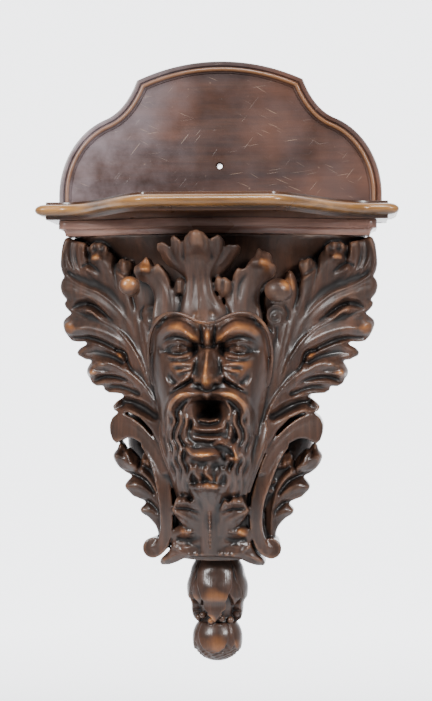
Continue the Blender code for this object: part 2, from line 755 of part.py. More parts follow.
def make_pendant(collection, cutters, material):
    bud, ball, drop = PENDANT_BUD_RADIUS, PENDANT_BALL_RADIUS, PENDANT_LENGTH
    profile = (
        (0.68 * bud, 0.02, 0.00), (0.68 * bud, 0.0, 0.00), (0.78 * bud, -0.06 * drop, 0.02),
        (0.91 * bud, -0.16 * drop, 0.05), (0.98 * bud, -0.26 * drop, 0.07), (bud, -0.35 * drop, 0.09),
        (0.97 * bud, -0.42 * drop, 0.14), (0.90 * bud, -0.47 * drop, 0.20), (0.80 * bud, -0.51 * drop, 0.22),
        (0.60 * bud, -0.53 * drop, 0.08), (0.56 * bud, -0.60 * drop, 0.00),
        (0.80 * ball, -0.63 * drop, 0.00), (0.95 * ball, -0.70 * drop, 0.04), (ball, -0.78 * drop, 0.06),
        (0.95 * ball, -0.86 * drop, 0.10), (0.80 * ball, -0.92 * drop, 0.14),
        (0.62 * ball, -0.955 * drop, 0.0), (0.30 * ball, -0.99 * drop, 0.0), (0.08 * ball, -1.0 * drop, 0.0),
    )
    bm = petalled(profile, PENDANT_PETALS, 48)
    for i in range(PENDANT_BERRIES):
        angle = 2 * math.pi * (i + 0.5) / PENDANT_BERRIES
        centre = Vector((0.62 * bud * math.sin(angle), 0.62 * bud * math.cos(angle), -0.585 * drop))
        bmesh.ops.create_uvsphere(
            bm, u_segments=12, v_segments=8, radius=PENDANT_BERRY_RADIUS, matrix=Matrix.Translation(centre)
        )
    for i in range(PENDANT_PETALS):
        angle = 2 * math.pi * i / PENDANT_PETALS
        turn = Matrix.Rotation(angle, 4, "Z")
        tongue = turn @ Matrix.Translation((0, -0.70 * bud, -0.555 * drop)) @ Matrix.Diagonal((
            0.26 * bud, 0.12 * bud, 0.085 * drop, 1,
        ))
        bmesh.ops.create_uvsphere(bm, u_segments=12, v_segments=8, radius=1, matrix=tongue)
    rough = add_object("rough_pendant", mesh_of(bm, "rough_pendant"), cutters)
    bm = carve_solid(rough, PENDANT_GRAIN, PENDANT_FACES)
    bpy.data.objects.remove(rough)
    cut_flat(bm, (0, 0, 0), (0, 0, 1))
    top = CARVING_BOTTOM + FOOT_LEVEL * PATTERN_SCALE.y - JOINT_GAP
    bm.transform(Matrix.Translation((0, -PENDANT_WALL_DISTANCE, top)))
    return add_object("pendant_drop", mesh_of(bm, "pendant_drop"), collection, material)


def main():
    clear_scene()
    parts = new_collection("corbel_bracket")
    cutters = new_collection("cutters")
    dark = wood("dark stained wood", (0.060, 0.034, 0.024), 0.35)
    warm = wood("worn stained wood", (0.16, 0.085, 0.035), 0.35)
    make_backboard(parts, cutters, dark)
    make_shelf(parts, cutters, warm)
    make_bed_board(parts, dark)
    make_corbel(parts, cutters, dark)
    make_pendant(parts, cutters, dark)


main()
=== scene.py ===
import math

import bmesh
import bpy
import numpy as np
from mathutils import Matrix, Vector


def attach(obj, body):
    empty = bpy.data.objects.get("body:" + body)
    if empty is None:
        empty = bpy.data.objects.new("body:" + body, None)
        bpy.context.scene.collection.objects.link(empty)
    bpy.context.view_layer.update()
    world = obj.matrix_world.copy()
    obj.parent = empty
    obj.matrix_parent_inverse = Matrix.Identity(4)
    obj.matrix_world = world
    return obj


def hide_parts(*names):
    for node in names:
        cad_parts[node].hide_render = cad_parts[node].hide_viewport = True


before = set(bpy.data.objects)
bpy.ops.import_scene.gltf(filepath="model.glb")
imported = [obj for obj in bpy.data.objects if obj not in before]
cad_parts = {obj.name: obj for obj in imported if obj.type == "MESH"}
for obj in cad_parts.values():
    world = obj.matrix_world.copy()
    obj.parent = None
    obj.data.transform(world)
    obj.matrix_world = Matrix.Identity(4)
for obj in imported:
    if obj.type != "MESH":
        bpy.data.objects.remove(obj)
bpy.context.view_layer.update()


def report(stage):
    print("corbel bracket:", stage)


def toLinear(code):
    # sRGB hex to the linear colour that the shader works in
    parts = [int(code[i:i + 2], 16) / 255 for i in (1, 3, 5)]
    return (*[p / 12.92 if p <= 0.04045 else ((p + 0.055) / 1.055) ** 2.4 for p in parts], 1)


def addNode(tree, kind, settings=None, inputs=None):
    # one node; an input is either a value or the socket of another node
    node = tree.nodes.new(kind)
    for name, value in (settings or {}).items():
        setattr(node, name, value)
    for name, value in (inputs or {}).items():
        if isinstance(value, bpy.types.NodeSocket):
            tree.links.new(value, node.inputs[name])
        else:
            node.inputs[name].default_value = value
    return node


def deselectAll():
    if bpy.context.object and bpy.context.object.mode != "OBJECT":
        bpy.ops.object.mode_set(mode="OBJECT")
    bpy.ops.object.select_all(action="DESELECT")


def makeActive(obj):
    deselectAll()
    obj.select_set(True)
    bpy.context.view_layer.objects.active = obj
    return obj


def applyModifier(obj, kind, name, **settings):
    makeActive(obj)
    modifier = obj.modifiers.new(name, kind)
    for key, value in settings.items():
        setattr(modifier, key, value)
    bpy.ops.object.modifier_apply(modifier=modifier.name)


def selectFaces(obj, wanted):
    # in edit mode, selects the faces for which wanted(face) is true
    bpy.ops.mesh.select_mode(type="FACE")
    bpy.ops.mesh.select_all(action="DESELECT")
    bm = bmesh.from_edit_mesh(obj.data)
    for face in bm.faces:
        face.select_set(bool(wanted(face)))
    bmesh.update_edit_mesh(obj.data)


def finishPiece(obj, name, node, material):
    obj.name = name
    obj.data.name = name
    obj.data.validate()      # drops a face that thinning left doubled
    obj.data.materials.clear()
    obj.data.materials.append(material)
    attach(obj, "root")
    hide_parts(node)


def softStep(share):
    share = min(1.0, max(0.0, share))
    return 0.5 - 0.5 * math.cos(math.pi * share)


def through(points, steps):
    # a smooth path through a few points
    points = [Vector(p) for p in points]
    padded = [2 * points[0] - points[1]] + points + [2 * points[-1] - points[-2]]
    made = []
    for i in range(steps):
        share = (len(points) - 1) * i / (steps - 1)
        k = min(int(share), len(points) - 2)
        t = share - k
        a, b, c, d = padded[k:k + 4]
        made.append(0.5 * (
            2 * b + (c - a) * t + (2 * a - 5 * b + 4 * c - d) * t * t + (3 * b - a - 3 * c + d) * t ** 3
        ))
    return made


def startMaterial(name):
    material = bpy.data.materials.new(name)
    material.use_nodes = True
    tree = material.node_tree
    return material, tree, tree.nodes["Principled BSDF"]


def woodGrain(tree, coordinates, scale, distortion=0.6):
    # long thin streaks: noise stretched along the board
    mapping = addNode(tree, "ShaderNodeMapping", inputs={"Vector": coordinates, "Scale": scale})
    broad = addNode(tree, "ShaderNodeTexNoise", inputs={
        "Vector": mapping.outputs["Vector"], "Scale": 1.0, "Detail": 6, "Roughness": 0.62, "Distortion": distortion,
    })
    fine = addNode(tree, "ShaderNodeMapping", inputs={"Vector": coordinates, "Scale": [s * 4.5 for s in scale]})
    pores = addNode(tree, "ShaderNodeTexNoise", inputs={
        "Vector": fine.outputs["Vector"], "Scale": 1.0, "Detail": 3, "Roughness": 0.7,
    })
    return broad.outputs["Fac"], pores.outputs["Fac"]


def ramp(tree, value, stops, interpolation="LINEAR"):
    node = addNode(tree, "ShaderNodeValToRGB", inputs={"Fac": value})
    node.color_ramp.interpolation = interpolation
    elements = node.color_ramp.elements
    while len(elements) < len(stops):
        elements.new(0.5)
    for element, (place, colour) in zip(elements, stops):
        element.position = place
        element.color = toLinear(colour) if isinstance(colour, str) else (colour, colour, colour, 1)
    return node.outputs["Color"]


def mix(tree, share, first, second, blend="MIX"):
    node = addNode(tree, "ShaderNodeMix", {"data_type": "RGBA", "blend_type": blend})
    for socket, value in ((node.inputs[0], share), (node.inputs[6], first), (node.inputs[7], second)):
        if isinstance(value, bpy.types.NodeSocket):
            tree.links.new(value, socket)
        else:
            socket.default_value = toLinear(value) if isinstance(value, str) else value
    return node.outputs[2]


def calculate(tree, operation, first, second=0.0, clamp=False):
    return addNode(tree, "ShaderNodeMath", {"operation": operation, "use_clamp": clamp},
        {0: first, 1: second}).outputs[0]


def scratches(tree, coordinates, turns, scale, threshold):
    # short straight strokes in a few directions: stretched noise, cut off high
    total = None
    for turn, offset in turns:
        turned = addNode(tree, "ShaderNodeMapping", inputs={
            "Vector": coordinates, "Rotation": (0, turn, 0), "Location": (offset, 0, offset * 0.7),
        })
        stretched = addNode(tree, "ShaderNodeMapping", inputs={"Vector": turned.outputs["Vector"], "Scale": scale})
        noise = addNode(tree, "ShaderNodeTexNoise", inputs={
            "Vector": stretched.outputs["Vector"], "Scale": 1.0, "Detail": 1.0, "Roughness": 0.4,
        })
        cut = addNode(tree, "ShaderNodeMapRange", inputs={
            "Value": noise.outputs["Fac"], "From Min": threshold, "From Max": threshold + 0.035,
        }).outputs["Result"]
        total = cut if total is None else calculate(tree, "MAXIMUM", total, cut)
    return total


def makeBoardWood():
    # mahogany-like board, dark stain under an old satin varnish: streaked, bloomed and scratched
    material, tree, shader = startMaterial("stained board, old satin varnish")
    place = addNode(tree, "ShaderNodeTexCoord").outputs["Object"]
    broad, pores = woodGrain(tree, place, (3.2, 8, 46), 0.5)      # streaks about 20 mm apart
    colour = ramp(tree, broad, [(0.30, "#34231f"), (0.47, "#452f27"), (0.60, "#543b2f"), (0.74, "#68493a")])
    colour = mix(tree, 0.55, colour, ramp(tree, pores, [(0.38, "#2c1d1b"), (0.62, "#7b5b4b")]), "SOFT_LIGHT")
    # rubbed middle, red-brown, and a grey bloom on the left
    separate = addNode(tree, "ShaderNodeSeparateXYZ", inputs={"Vector": place})
    cloud = addNode(tree, "ShaderNodeTexNoise",
        inputs={"Vector": place, "Scale": 13.0, "Detail": 5, "Roughness": 0.6}).outputs["Fac"]
    leftward = addNode(tree, "ShaderNodeMapRange", inputs={
        "Value": separate.outputs["X"], "From Min": -0.02, "From Max": -0.17}).outputs["Result"]
    bloom = calculate(tree, "MULTIPLY", ramp(tree, cloud, [(0.36, 0.0), (0.62, 1.0)]),
        calculate(tree, "ADD", calculate(tree, "MULTIPLY", leftward, 0.85), 0.10))
    colour = mix(tree, bloom, colour, "#8a7c80")
    warm = addNode(tree, "ShaderNodeTexNoise", inputs={"Vector": place, "Scale": 8.0, "Detail": 3}).outputs["Fac"]
    colour = mix(tree, calculate(tree, "MULTIPLY", ramp(tree, warm, [(0.48, 0.0), (0.68, 1.0)]), 0.5), colour,
        "#7a4c35")
    marks = scratches(tree, place, [(0.15, 0.0), (0.9, 3.1), (2.6, 7.3), (-0.4, 11.7)], (26, 60, 820), 0.742)
    nicks = addNode(tree, "ShaderNodeTexVoronoi", inputs={"Vector": place, "Scale": 95.0, "Randomness": 1.0})
    patchy = addNode(tree, "ShaderNodeTexNoise", inputs={"Vector": place, "Scale": 60.0, "Detail": 4}).outputs["Fac"]
    nick = calculate(tree, "MULTIPLY", ramp(tree, nicks.outputs["Distance"], [(0.05, 1.0), (0.13, 0.0)]),
        ramp(tree, patchy, [(0.53, 0.0), (0.60, 1.0)]))
    worn = calculate(tree, "MAXIMUM", marks, nick)
    colour = mix(tree, calculate(tree, "MULTIPLY", worn,
        calculate(tree, "MULTIPLY", ramp(tree, cloud, [(0.42, 0.1), (0.6, 1.0)]), 0.45)), colour, "#b0937a")
    # the moulding's bead is rubbed golden
    proud = addNode(tree, "ShaderNodeMapRange", inputs={
        "Value": separate.outputs["Y"], "From Min": -0.0166, "From Max": -0.0178}).outputs["Result"]
    colour = mix(tree, calculate(tree, "MULTIPLY", proud, 0.55), colour, "#8a5c33")
    shader.inputs["Roughness"].default_value = 0.36
    tree.links.new(colour, shader.inputs["Base Color"])
    tree.links.new(calculate(tree, "ADD", calculate(tree, "MULTIPLY", cloud, 0.34), 0.20), shader.inputs["Roughness"])
    shader.inputs["IOR"].default_value = 1.5
    shader.inputs["Coat Weight"].default_value = 0.25
    shader.inputs["Coat Roughness"].default_value = 0.22
    height = calculate(tree, "SUBTRACT", calculate(tree, "MULTIPLY", pores, 0.5),
        calculate(tree, "MULTIPLY", worn, 0.5))
    bump = addNode(tree, "ShaderNodeBump", inputs={"Height": height, "Strength": 0.35, "Distance": 0.0006})
    tree.links.new(bump.outputs["Normal"], shader.inputs["Normal"])
    return material


def makeEdgeWood():
    # the same wood on the shelf: its nose is rubbed golden, its fillets stay dark
    material, tree, shader = startMaterial("rubbed shelf edge, varnished")
    place = addNode(tree, "ShaderNodeTexCoord").outputs["Object"]
    separate = addNode(tree, "ShaderNodeSeparateXYZ", inputs={"Vector": place})
    broad, pores = woodGrain(tree, place, (5, 18, 60), 0.8)
    dark = ramp(tree, broad, [(0.32, "#38251c"), (0.50, "#4f3525"), (0.72, "#6b4a30")])
    gold = ramp(tree, broad, [(0.30, "#6c4c27"), (0.45, "#936c3b"), (0.60, "#b0854c"), (0.75, "#c89e61")])
    upper = addNode(tree, "ShaderNodeMapRange", inputs={
        "Value": separate.outputs["Z"], "From Min": -0.0022, "From Max": -0.0040}).outputs["Result"]
    lower = addNode(tree, "ShaderNodeMapRange", inputs={
        "Value": separate.outputs["Z"], "From Min": -0.0152, "From Max": -0.0128}).outputs["Result"]
    blotch = addNode(tree, "ShaderNodeTexNoise", inputs={"Vector": place, "Scale": 26.0, "Detail": 4}).outputs["Fac"]
    share = calculate(tree, "MULTIPLY", calculate(tree, "MULTIPLY", upper, lower),
        ramp(tree, blotch, [(0.25, 0.55), (0.55, 1.0)]))
    colour = mix(tree, share, dark, gold)
    colour = mix(tree, 0.45, colour, ramp(tree, pores, [(0.38, "#3a2a1c"), (0.62, "#8d6a48")]), "SOFT_LIGHT")
    tree.links.new(colour, shader.inputs["Base Color"])
    tree.links.new(calculate(tree, "ADD", calculate(tree, "MULTIPLY", blotch, 0.22), 0.20),
        shader.inputs["Roughness"])
    shader.inputs["IOR"].default_value = 1.5
    shader.inputs["Coat Weight"].default_value = 0.35
    shader.inputs["Coat Roughness"].default_value = 0.18
    bump = addNode(tree, "ShaderNodeBump", inputs={"Height": pores, "Strength": 0.25, "Distance": 0.0005})
    tree.links.new(bump.outputs["Normal"], shader.inputs["Normal"])
    return material


def makeLightenedBedWood():
    # flat moulding in a redder stain, its colours lightened to paint in the light it reflects under the shelf, with
    # smears in the varnish
    material, tree, shader = startMaterial("red-brown moulding, lightened with painted light")
    place = addNode(tree, "ShaderNodeTexCoord").outputs["Object"]
    broad, pores = woodGrain(tree, place, (6, 20, 70), 0.5)
    # painted light: these colours are lightened well past the stain, standing in for the light the board reflects
    # under the shelf
    colour = ramp(tree, broad, [(0.32, "#86655a"), (0.50, "#a68375"), (0.66, "#c29e8f"), (0.78, "#d4b1a1")])
    colour = mix(tree, 0.4, colour, ramp(tree, pores, [(0.38, "#2a1c18"), (0.62, "#7d5a48")]), "SOFT_LIGHT")
    smear = addNode(tree, "ShaderNodeTexNoise", inputs={"Vector": place, "Scale": 22.0, "Detail": 3}).outputs["Fac"]
    tree.links.new(colour, shader.inputs["Base Color"])
    tree.links.new(calculate(tree, "ADD", calculate(tree, "MULTIPLY", smear, 0.35), 0.14), shader.inputs["Roughness"])
    shader.inputs["IOR"].default_value = 1.5
    shader.inputs["Coat Weight"].default_value = 0.35
    shader.inputs["Coat Roughness"].default_value = 0.2
    bump = addNode(tree, "ShaderNodeBump", inputs={"Height": pores, "Strength": 0.2, "Distance": 0.0005})
    tree.links.new(bump.outputs["Normal"], shader.inputs["Normal"])
    return material


def makeCarvedWood():
    # carved wood, dark stain and varnish: painted shade near black in the hollows (partly dirt gathered there),
    # lighter on the arrises (stain worn thin, partly a painted highlight), copper where handled
    material, tree, shader = startMaterial("carved stained wood, varnished")
    place = addNode(tree, "ShaderNodeTexCoord").outputs["Object"]
    arris, hollow_dirt_and_shade, rubbed = (
        addNode(tree, "ShaderNodeAttribute", {"attribute_name": name}).outputs["Fac"]
        for name in ("arris", "hollow_dirt_and_shade", "rubbed")
    )
    broad, pores = woodGrain(tree, place, (60, 22, 7), 0.7)       # the grain runs up the block
    colour = ramp(tree, broad, [(0.30, "#38271f"), (0.48, "#4a352a"), (0.62, "#5c4133"), (0.76, "#6e4c3a")])
    colour = mix(tree, 0.4, colour, ramp(tree, pores, [(0.38, "#2c1f1b"), (0.62, "#83614f")]), "SOFT_LIGHT")
    grime = addNode(tree, "ShaderNodeTexNoise",
        inputs={"Vector": place, "Scale": 34.0, "Detail": 4, "Roughness": 0.6}).outputs["Fac"]
    # the arrises go lighter: stain worn thin there, and partly a painted highlight along the edges
    edge = calculate(tree, "MULTIPLY", arris, ramp(tree, grime, [(0.36, 0.2), (0.62, 1.0)]))
    colour = mix(tree, ramp(tree, edge, [(0.25, 0.0), (0.95, 0.62)]), colour, "#8a6248")
    worn = calculate(tree, "MULTIPLY", rubbed, ramp(tree, grime, [(0.34, 0.45), (0.56, 1.0)]))
    colour = mix(tree, ramp(tree, worn, [(0.08, 0.0), (0.75, 0.88)]), colour, "#a86a38")
    colour = mix(tree, ramp(tree, worn, [(0.62, 0.0), (1.0, 0.6)]), colour, "#cf9a58")
    # painted shade: the hollows are mixed towards near black, partly for the dirt gathered in them
    colour = mix(tree, ramp(tree, hollow_dirt_and_shade, [(0.08, 0.0), (0.55, 0.94)]), colour, "#0d0807")
    tree.links.new(colour, shader.inputs["Base Color"])
    rough = calculate(tree, "ADD", calculate(tree, "MULTIPLY", grime, 0.30), 0.21)
    rough = calculate(tree, "ADD", rough, calculate(tree, "MULTIPLY", hollow_dirt_and_shade, 0.3))
    rough = calculate(tree, "SUBTRACT", rough, calculate(tree, "MULTIPLY", worn, 0.1))
    # dust has dulled the varnish under the shelf
    dull = addNode(tree, "ShaderNodeMapRange", inputs={
        "Value": addNode(tree, "ShaderNodeSeparateXYZ", inputs={"Vector": place}).outputs["Z"], "From Min": -0.150,
        "From Max": -0.095}).outputs["Result"]
    dull = calculate(tree, "MULTIPLY", dull, calculate(tree, "SUBTRACT", 1.0, calculate(tree, "MULTIPLY", worn, 0.8)))
    tree.links.new(calculate(tree, "ADD", rough, calculate(tree, "MULTIPLY", dull, 0.15)), shader.inputs["Roughness"])
    tree.links.new(calculate(tree, "SUBTRACT", 0.3, calculate(tree, "MULTIPLY", dull, 0.24)),
        shader.inputs["Coat Weight"])
    shader.inputs["IOR"].default_value = 1.5
    shader.inputs["Coat Roughness"].default_value = 0.16
    chatter = addNode(tree, "ShaderNodeTexNoise",
        inputs={"Vector": place, "Scale": 210.0, "Detail": 2}).outputs["Fac"]
    height = calculate(tree, "ADD", calculate(tree, "MULTIPLY", pores, 0.5),
        calculate(tree, "MULTIPLY", chatter, 0.5))
    bump = addNode(tree, "ShaderNodeBump", inputs={"Height": height, "Strength": 0.4, "Distance": 0.0007})
    tree.links.new(bump.outputs["Normal"], shader.inputs["Normal"])
    return material


def makeGlowingCove():
    # matt off-white cove that glows though it is no lamp: painted light, brighter towards its back and dimmer to the
    # sides
    material, tree, shader = startMaterial("matt studio cove, glowing")
    shader.inputs["Base Color"].default_value = toLinear("#e9eaec")
    shader.inputs["Roughness"].default_value = 0.95
    shader.inputs["Emission Color"].default_value = toLinear("#f6f7fa")
    place = addNode(tree, "ShaderNodeTexCoord").outputs["Object"]
    along = addNode(tree, "ShaderNodeSeparateXYZ", inputs={"Vector": place})
    # painted light: the cove's emission rises towards its back and falls off to the sides
    back = addNode(tree, "ShaderNodeMapRange",
        inputs={"Value": along.outputs["Y"], "From Min": 2.0, "From Max": 6.0, "To Min": 0.06, "To Max": 3.6})
    aside = addNode(tree, "ShaderNodeMapRange", inputs={
        "Value": calculate(tree, "ABSOLUTE", along.outputs["X"]), "From Min": 2.2, "From Max": 6.0, "To Min": 1.0,
        "To Max": 0.16})
    tree.links.new(calculate(tree, "MULTIPLY", back.outputs["Result"], aside.outputs["Result"]),
        shader.inputs["Emission Strength"])
    return material


def boardFromOutline(points):
    # a filled circle whose points are moved onto the outline
    deselectAll()
    bpy.ops.mesh.primitive_circle_add(vertices=len(points), radius=0.1, fill_type="NGON")
    board = bpy.context.object
    for vertex, point in zip(board.data.vertices, points):
        vertex.co = point
    return board


def workEdge(board, upwards, thickness, upper, lower):
    # extrudes the outline to its thickness, then steps both faces in along a moulding
    makeActive(board)
    bpy.ops.object.mode_set(mode="EDIT")
    bpy.ops.mesh.select_all(action="SELECT")
    bpy.ops.mesh.extrude_region_move(TRANSFORM_OT_translate={"value": upwards * thickness})
    bpy.ops.mesh.select_all(action="SELECT")
    bpy.ops.mesh.normals_make_consistent(inside=False)
    for direction, steps in ((upwards, upper), (-upwards, lower)):
        selectFaces(board, lambda face: len(face.verts) > 8 and face.normal.dot(direction) > 0.9)
        for inwards, along in steps:
            if inwards > 0:
                bpy.ops.mesh.inset(thickness=inwards, depth=along, use_even_offset=True)
            else:
                bpy.ops.mesh.extrude_region_move(TRANSFORM_OT_translate={"value": direction * along})
    bpy.ops.object.mode_set(mode="OBJECT")


def cutOff(obj, place, outward):
    # slices the piece and closes the cut
    makeActive(obj)
    bpy.ops.object.mode_set(mode="EDIT")
    bpy.ops.mesh.select_all(action="SELECT")
    bpy.ops.mesh.bisect(plane_co=place, plane_no=outward, use_fill=True, clear_outer=True)
    bpy.ops.object.mode_set(mode="OBJECT")


def cutterBox(low, high):
    deselectAll()
    bpy.ops.mesh.primitive_cube_add(size=1, location=[(a + b) / 2 for a, b in zip(low, high)])
    box = bpy.context.object
    box.scale = [b - a for a, b in zip(low, high)]
    makeActive(box)
    bpy.ops.object.transform_apply(location=True, rotation=True, scale=True)
    return box


def combine(piece, other, operation):
    applyModifier(piece, "BOOLEAN", operation.lower(), object=other, operation=operation)
    bpy.data.objects.remove(other)


def easeEdges(board, width):
    # the arrises are softened by handling
    applyModifier(board, "BEVEL", "arrises", width=width, segments=2, limit_method="ANGLE",
        angle_limit=math.radians(38))
    makeActive(board)
    bpy.ops.object.shade_smooth_by_angle(angle=math.radians(32))


def serpentine(size, back, steps):
    # plan of a board: straight at the back, bowed forward in the middle of the front
    half, corner = size["width"] / 2, size["corner"]
    front = []
    for i in range(steps + 1):
        x = (half - corner) * i / steps
        fall = softStep((x - size["bowStart"]) / (size["bowEnd"] - size["bowStart"]))
        front.append((x, size["middleDepth"] + (size["endDepth"] - size["middleDepth"]) * fall))
    for i in range(1, 9):
        angle = math.pi / 2 * i / 8
        front.append((half - corner + corner * math.sin(angle), size["endDepth"] - corner + corner * math.cos(angle)))
    right = [(x, -depth) for x, depth in front]
    left = [(-x, y) for x, y in reversed(right[1:])]
    return [(half, back)] + right[::-1] + left[::-1] + [(-half, back)]


def roundSteps(projection, height, steps):
    points = [
        (projection * (1 - math.cos(a)), height * math.sin(a))
        for a in (math.pi / 2 * i / steps for i in range(steps + 1))
    ]
    return [(b[0] - a[0], b[1] - a[1]) for a, b in zip(points, points[1:])]


shelfSize = {
    "width": 0.372, "middleDepth": 0.200, "endDepth": 0.084, "bowStart": 0.060, "bowEnd": 0.160, "corner": 0.012,
    "upperFillet": 0.0025, "nose": 0.0120, "lowerFillet": 0.0035, "projection": 0.0110, "notch": 0.0185,
    "notchHalf": 0.1703, "seam": 0.0003, "arris": 0.0005,
}


def makeShelf(material):
    s = shelfSize
    band = s["seam"]
    middle = -s["upperFillet"] - s["nose"] / 2
    outline = serpentine(s, 0.03, 70)
    shelf = boardFromOutline([(x, y, middle - band / 2) for x, y in outline])
    nose = roundSteps(s["projection"], (s["nose"] - band) / 2, 9)
    workEdge(shelf, Vector((0, 0, 1)), band, nose + [(0, s["upperFillet"])], nose + [(0, s["lowerFillet"])])
    cutOff(shelf, (0, 0, 0), (0, 1, 0))
    combine(shelf, cutterBox((-s["notchHalf"], -s["notch"], -0.04), (s["notchHalf"], 0.03, 0.02)), "DIFFERENCE")
    easeEdges(shelf, s["arris"])
    finishPiece(shelf, "shelfBoard", "shelf", material)
    report("shelf")


bedSize = {
    "width": 0.328, "middleDepth": 0.100, "endDepth": 0.064, "bowStart": 0.030, "bowEnd": 0.150, "corner": 0.009,
    "top": -0.0183, "face": 0.0085, "cove": 0.0070, "fillet": 0.0012, "coveSpread": 0.82, "arris": 0.0005,
}


def makeBedBoard(material):
    s = bedSize
    outline = serpentine(s, 0.03, 60)
    board = boardFromOutline([(x, y, s["top"] - s["face"]) for x, y in outline])
    cove = [(s["cove"] * (math.sin(b) - math.sin(a)), s["cove"] * (math.cos(a) - math.cos(b)))
            for a, b in ((math.pi / 2 * i / 7, math.pi / 2 * (i + 1) / 7) for i in range(7))]
    workEdge(board, Vector((0, 0, 1)), s["face"], [],
        [(s["fillet"], 0.0)] + [(along * s["coveSpread"], inwards) for inwards, along in cove][::-1])
    cutOff(board, (0, 0, 0), (0, 1, 0))
    easeEdges(board, s["arris"])
    finishPiece(board, "bedBoard", "bed_board", material)
    report("bed board")


backSize = {
    "width": 0.340, "rise": 0.152, "thickness": 0.0182, "recess": 0.0042, "shoulderWidth": 0.1746,
    "shoulderRise": 0.1326, "sideRadius": 0.075, "sideStraight": 0.011, "bottom": -0.018,
    "holeRise": 0.042, "hole": 0.0028, "head": 0.0050,
    "sideFall": 0.0356, "sideTurn": 70, "hollowPull": 0.018, "hollowEnd": (-0.35, 0.94), "footInset": 0.0015,
}


def offsetLine(points, distance):
    # the line moved to its left by a distance
    line = np.array(points, float)
    along = np.gradient(line, axis=0)
    along /= np.linalg.norm(along, axis=1)[:, None]
    return line + distance * np.stack([-along[:, 1], along[:, 0]], 1)


def spread(points, count):
    # the same line with evenly spaced points
    line = np.array(points, float)
    walked = np.concatenate([[0], np.cumsum(np.linalg.norm(np.diff(line, axis=0), axis=1))])
    places = np.linspace(0, walked[-1], count)
    return np.stack([np.interp(places, walked, line[:, 0]), np.interp(places, walked, line[:, 1])], 1)


def backRing(s, distance):
    # half the outline, moved inwards: foot, side and hollow, then the low arch, mitred where they meet
    half = s["width"] / 2
    shoulder = (s["shoulderWidth"] / 2, s["shoulderRise"])
    centre = (half - s["sideRadius"], s["sideStraight"])
    height = s["shoulderRise"] - s["sideStraight"] - s["sideFall"]
    last = math.radians(s["sideTurn"])
    side = [(half, s["bottom"] + 0.001 * i) for i in range(29)]
    turns = [last * i / 40 for i in range(1, 41)]
    side += [(centre[0] + s["sideRadius"] * math.cos(turn), centre[1] + height * math.sin(turn)) for turn in turns]
    leaving = Vector((-s["sideRadius"] * math.sin(last), height * math.cos(last))).normalized() * s["hollowPull"]
    arriving = Vector(s["hollowEnd"]).normalized() * s["hollowPull"]
    a, d = Vector(side[-1]), Vector(shoulder)
    b, c = a + leaving, d - arriving
    for i in range(1, 31):
        t = i / 30
        side.append(tuple(a * (1 - t) ** 3 + b * 3 * t * (1 - t) ** 2 + c * 3 * t * t * (1 - t) + d * t ** 3))
    rise = s["rise"] - s["shoulderRise"]
    radius = (shoulder[0] ** 2 + rise ** 2) / (2 * rise)
    side = offsetLine(side, distance)
    side[:, 1] = np.where(side[:, 1] < s["bottom"] + distance, s["bottom"] + distance, side[:, 1])
    radius -= distance
    middle = s["rise"] - distance - radius
    outside = np.nonzero(np.hypot(side[:, 0], side[:, 1] - middle) > radius)[0]
    crossing = [i for i in outside if side[i, 1] > s["shoulderRise"] - 0.03 and side[i, 0] < shoulder[0] + 0.012]
    side = side[:crossing[0]] if crossing else side
    corner = side[-1] + (side[-1] - side[-2]) * 0.5
    corner[1] = middle + math.sqrt(radius ** 2 - corner[0] ** 2)
    side = np.vstack([side, corner])
    arch = [(x, middle + math.sqrt(radius ** 2 - x * x)) for x in np.linspace(corner[0], 0, 40)]
    right = np.vstack([spread(side, 90), spread(arch, 34)[1:]])
    left = right[:-1][::-1] * [-1, 1]
    return np.vstack([right, left])


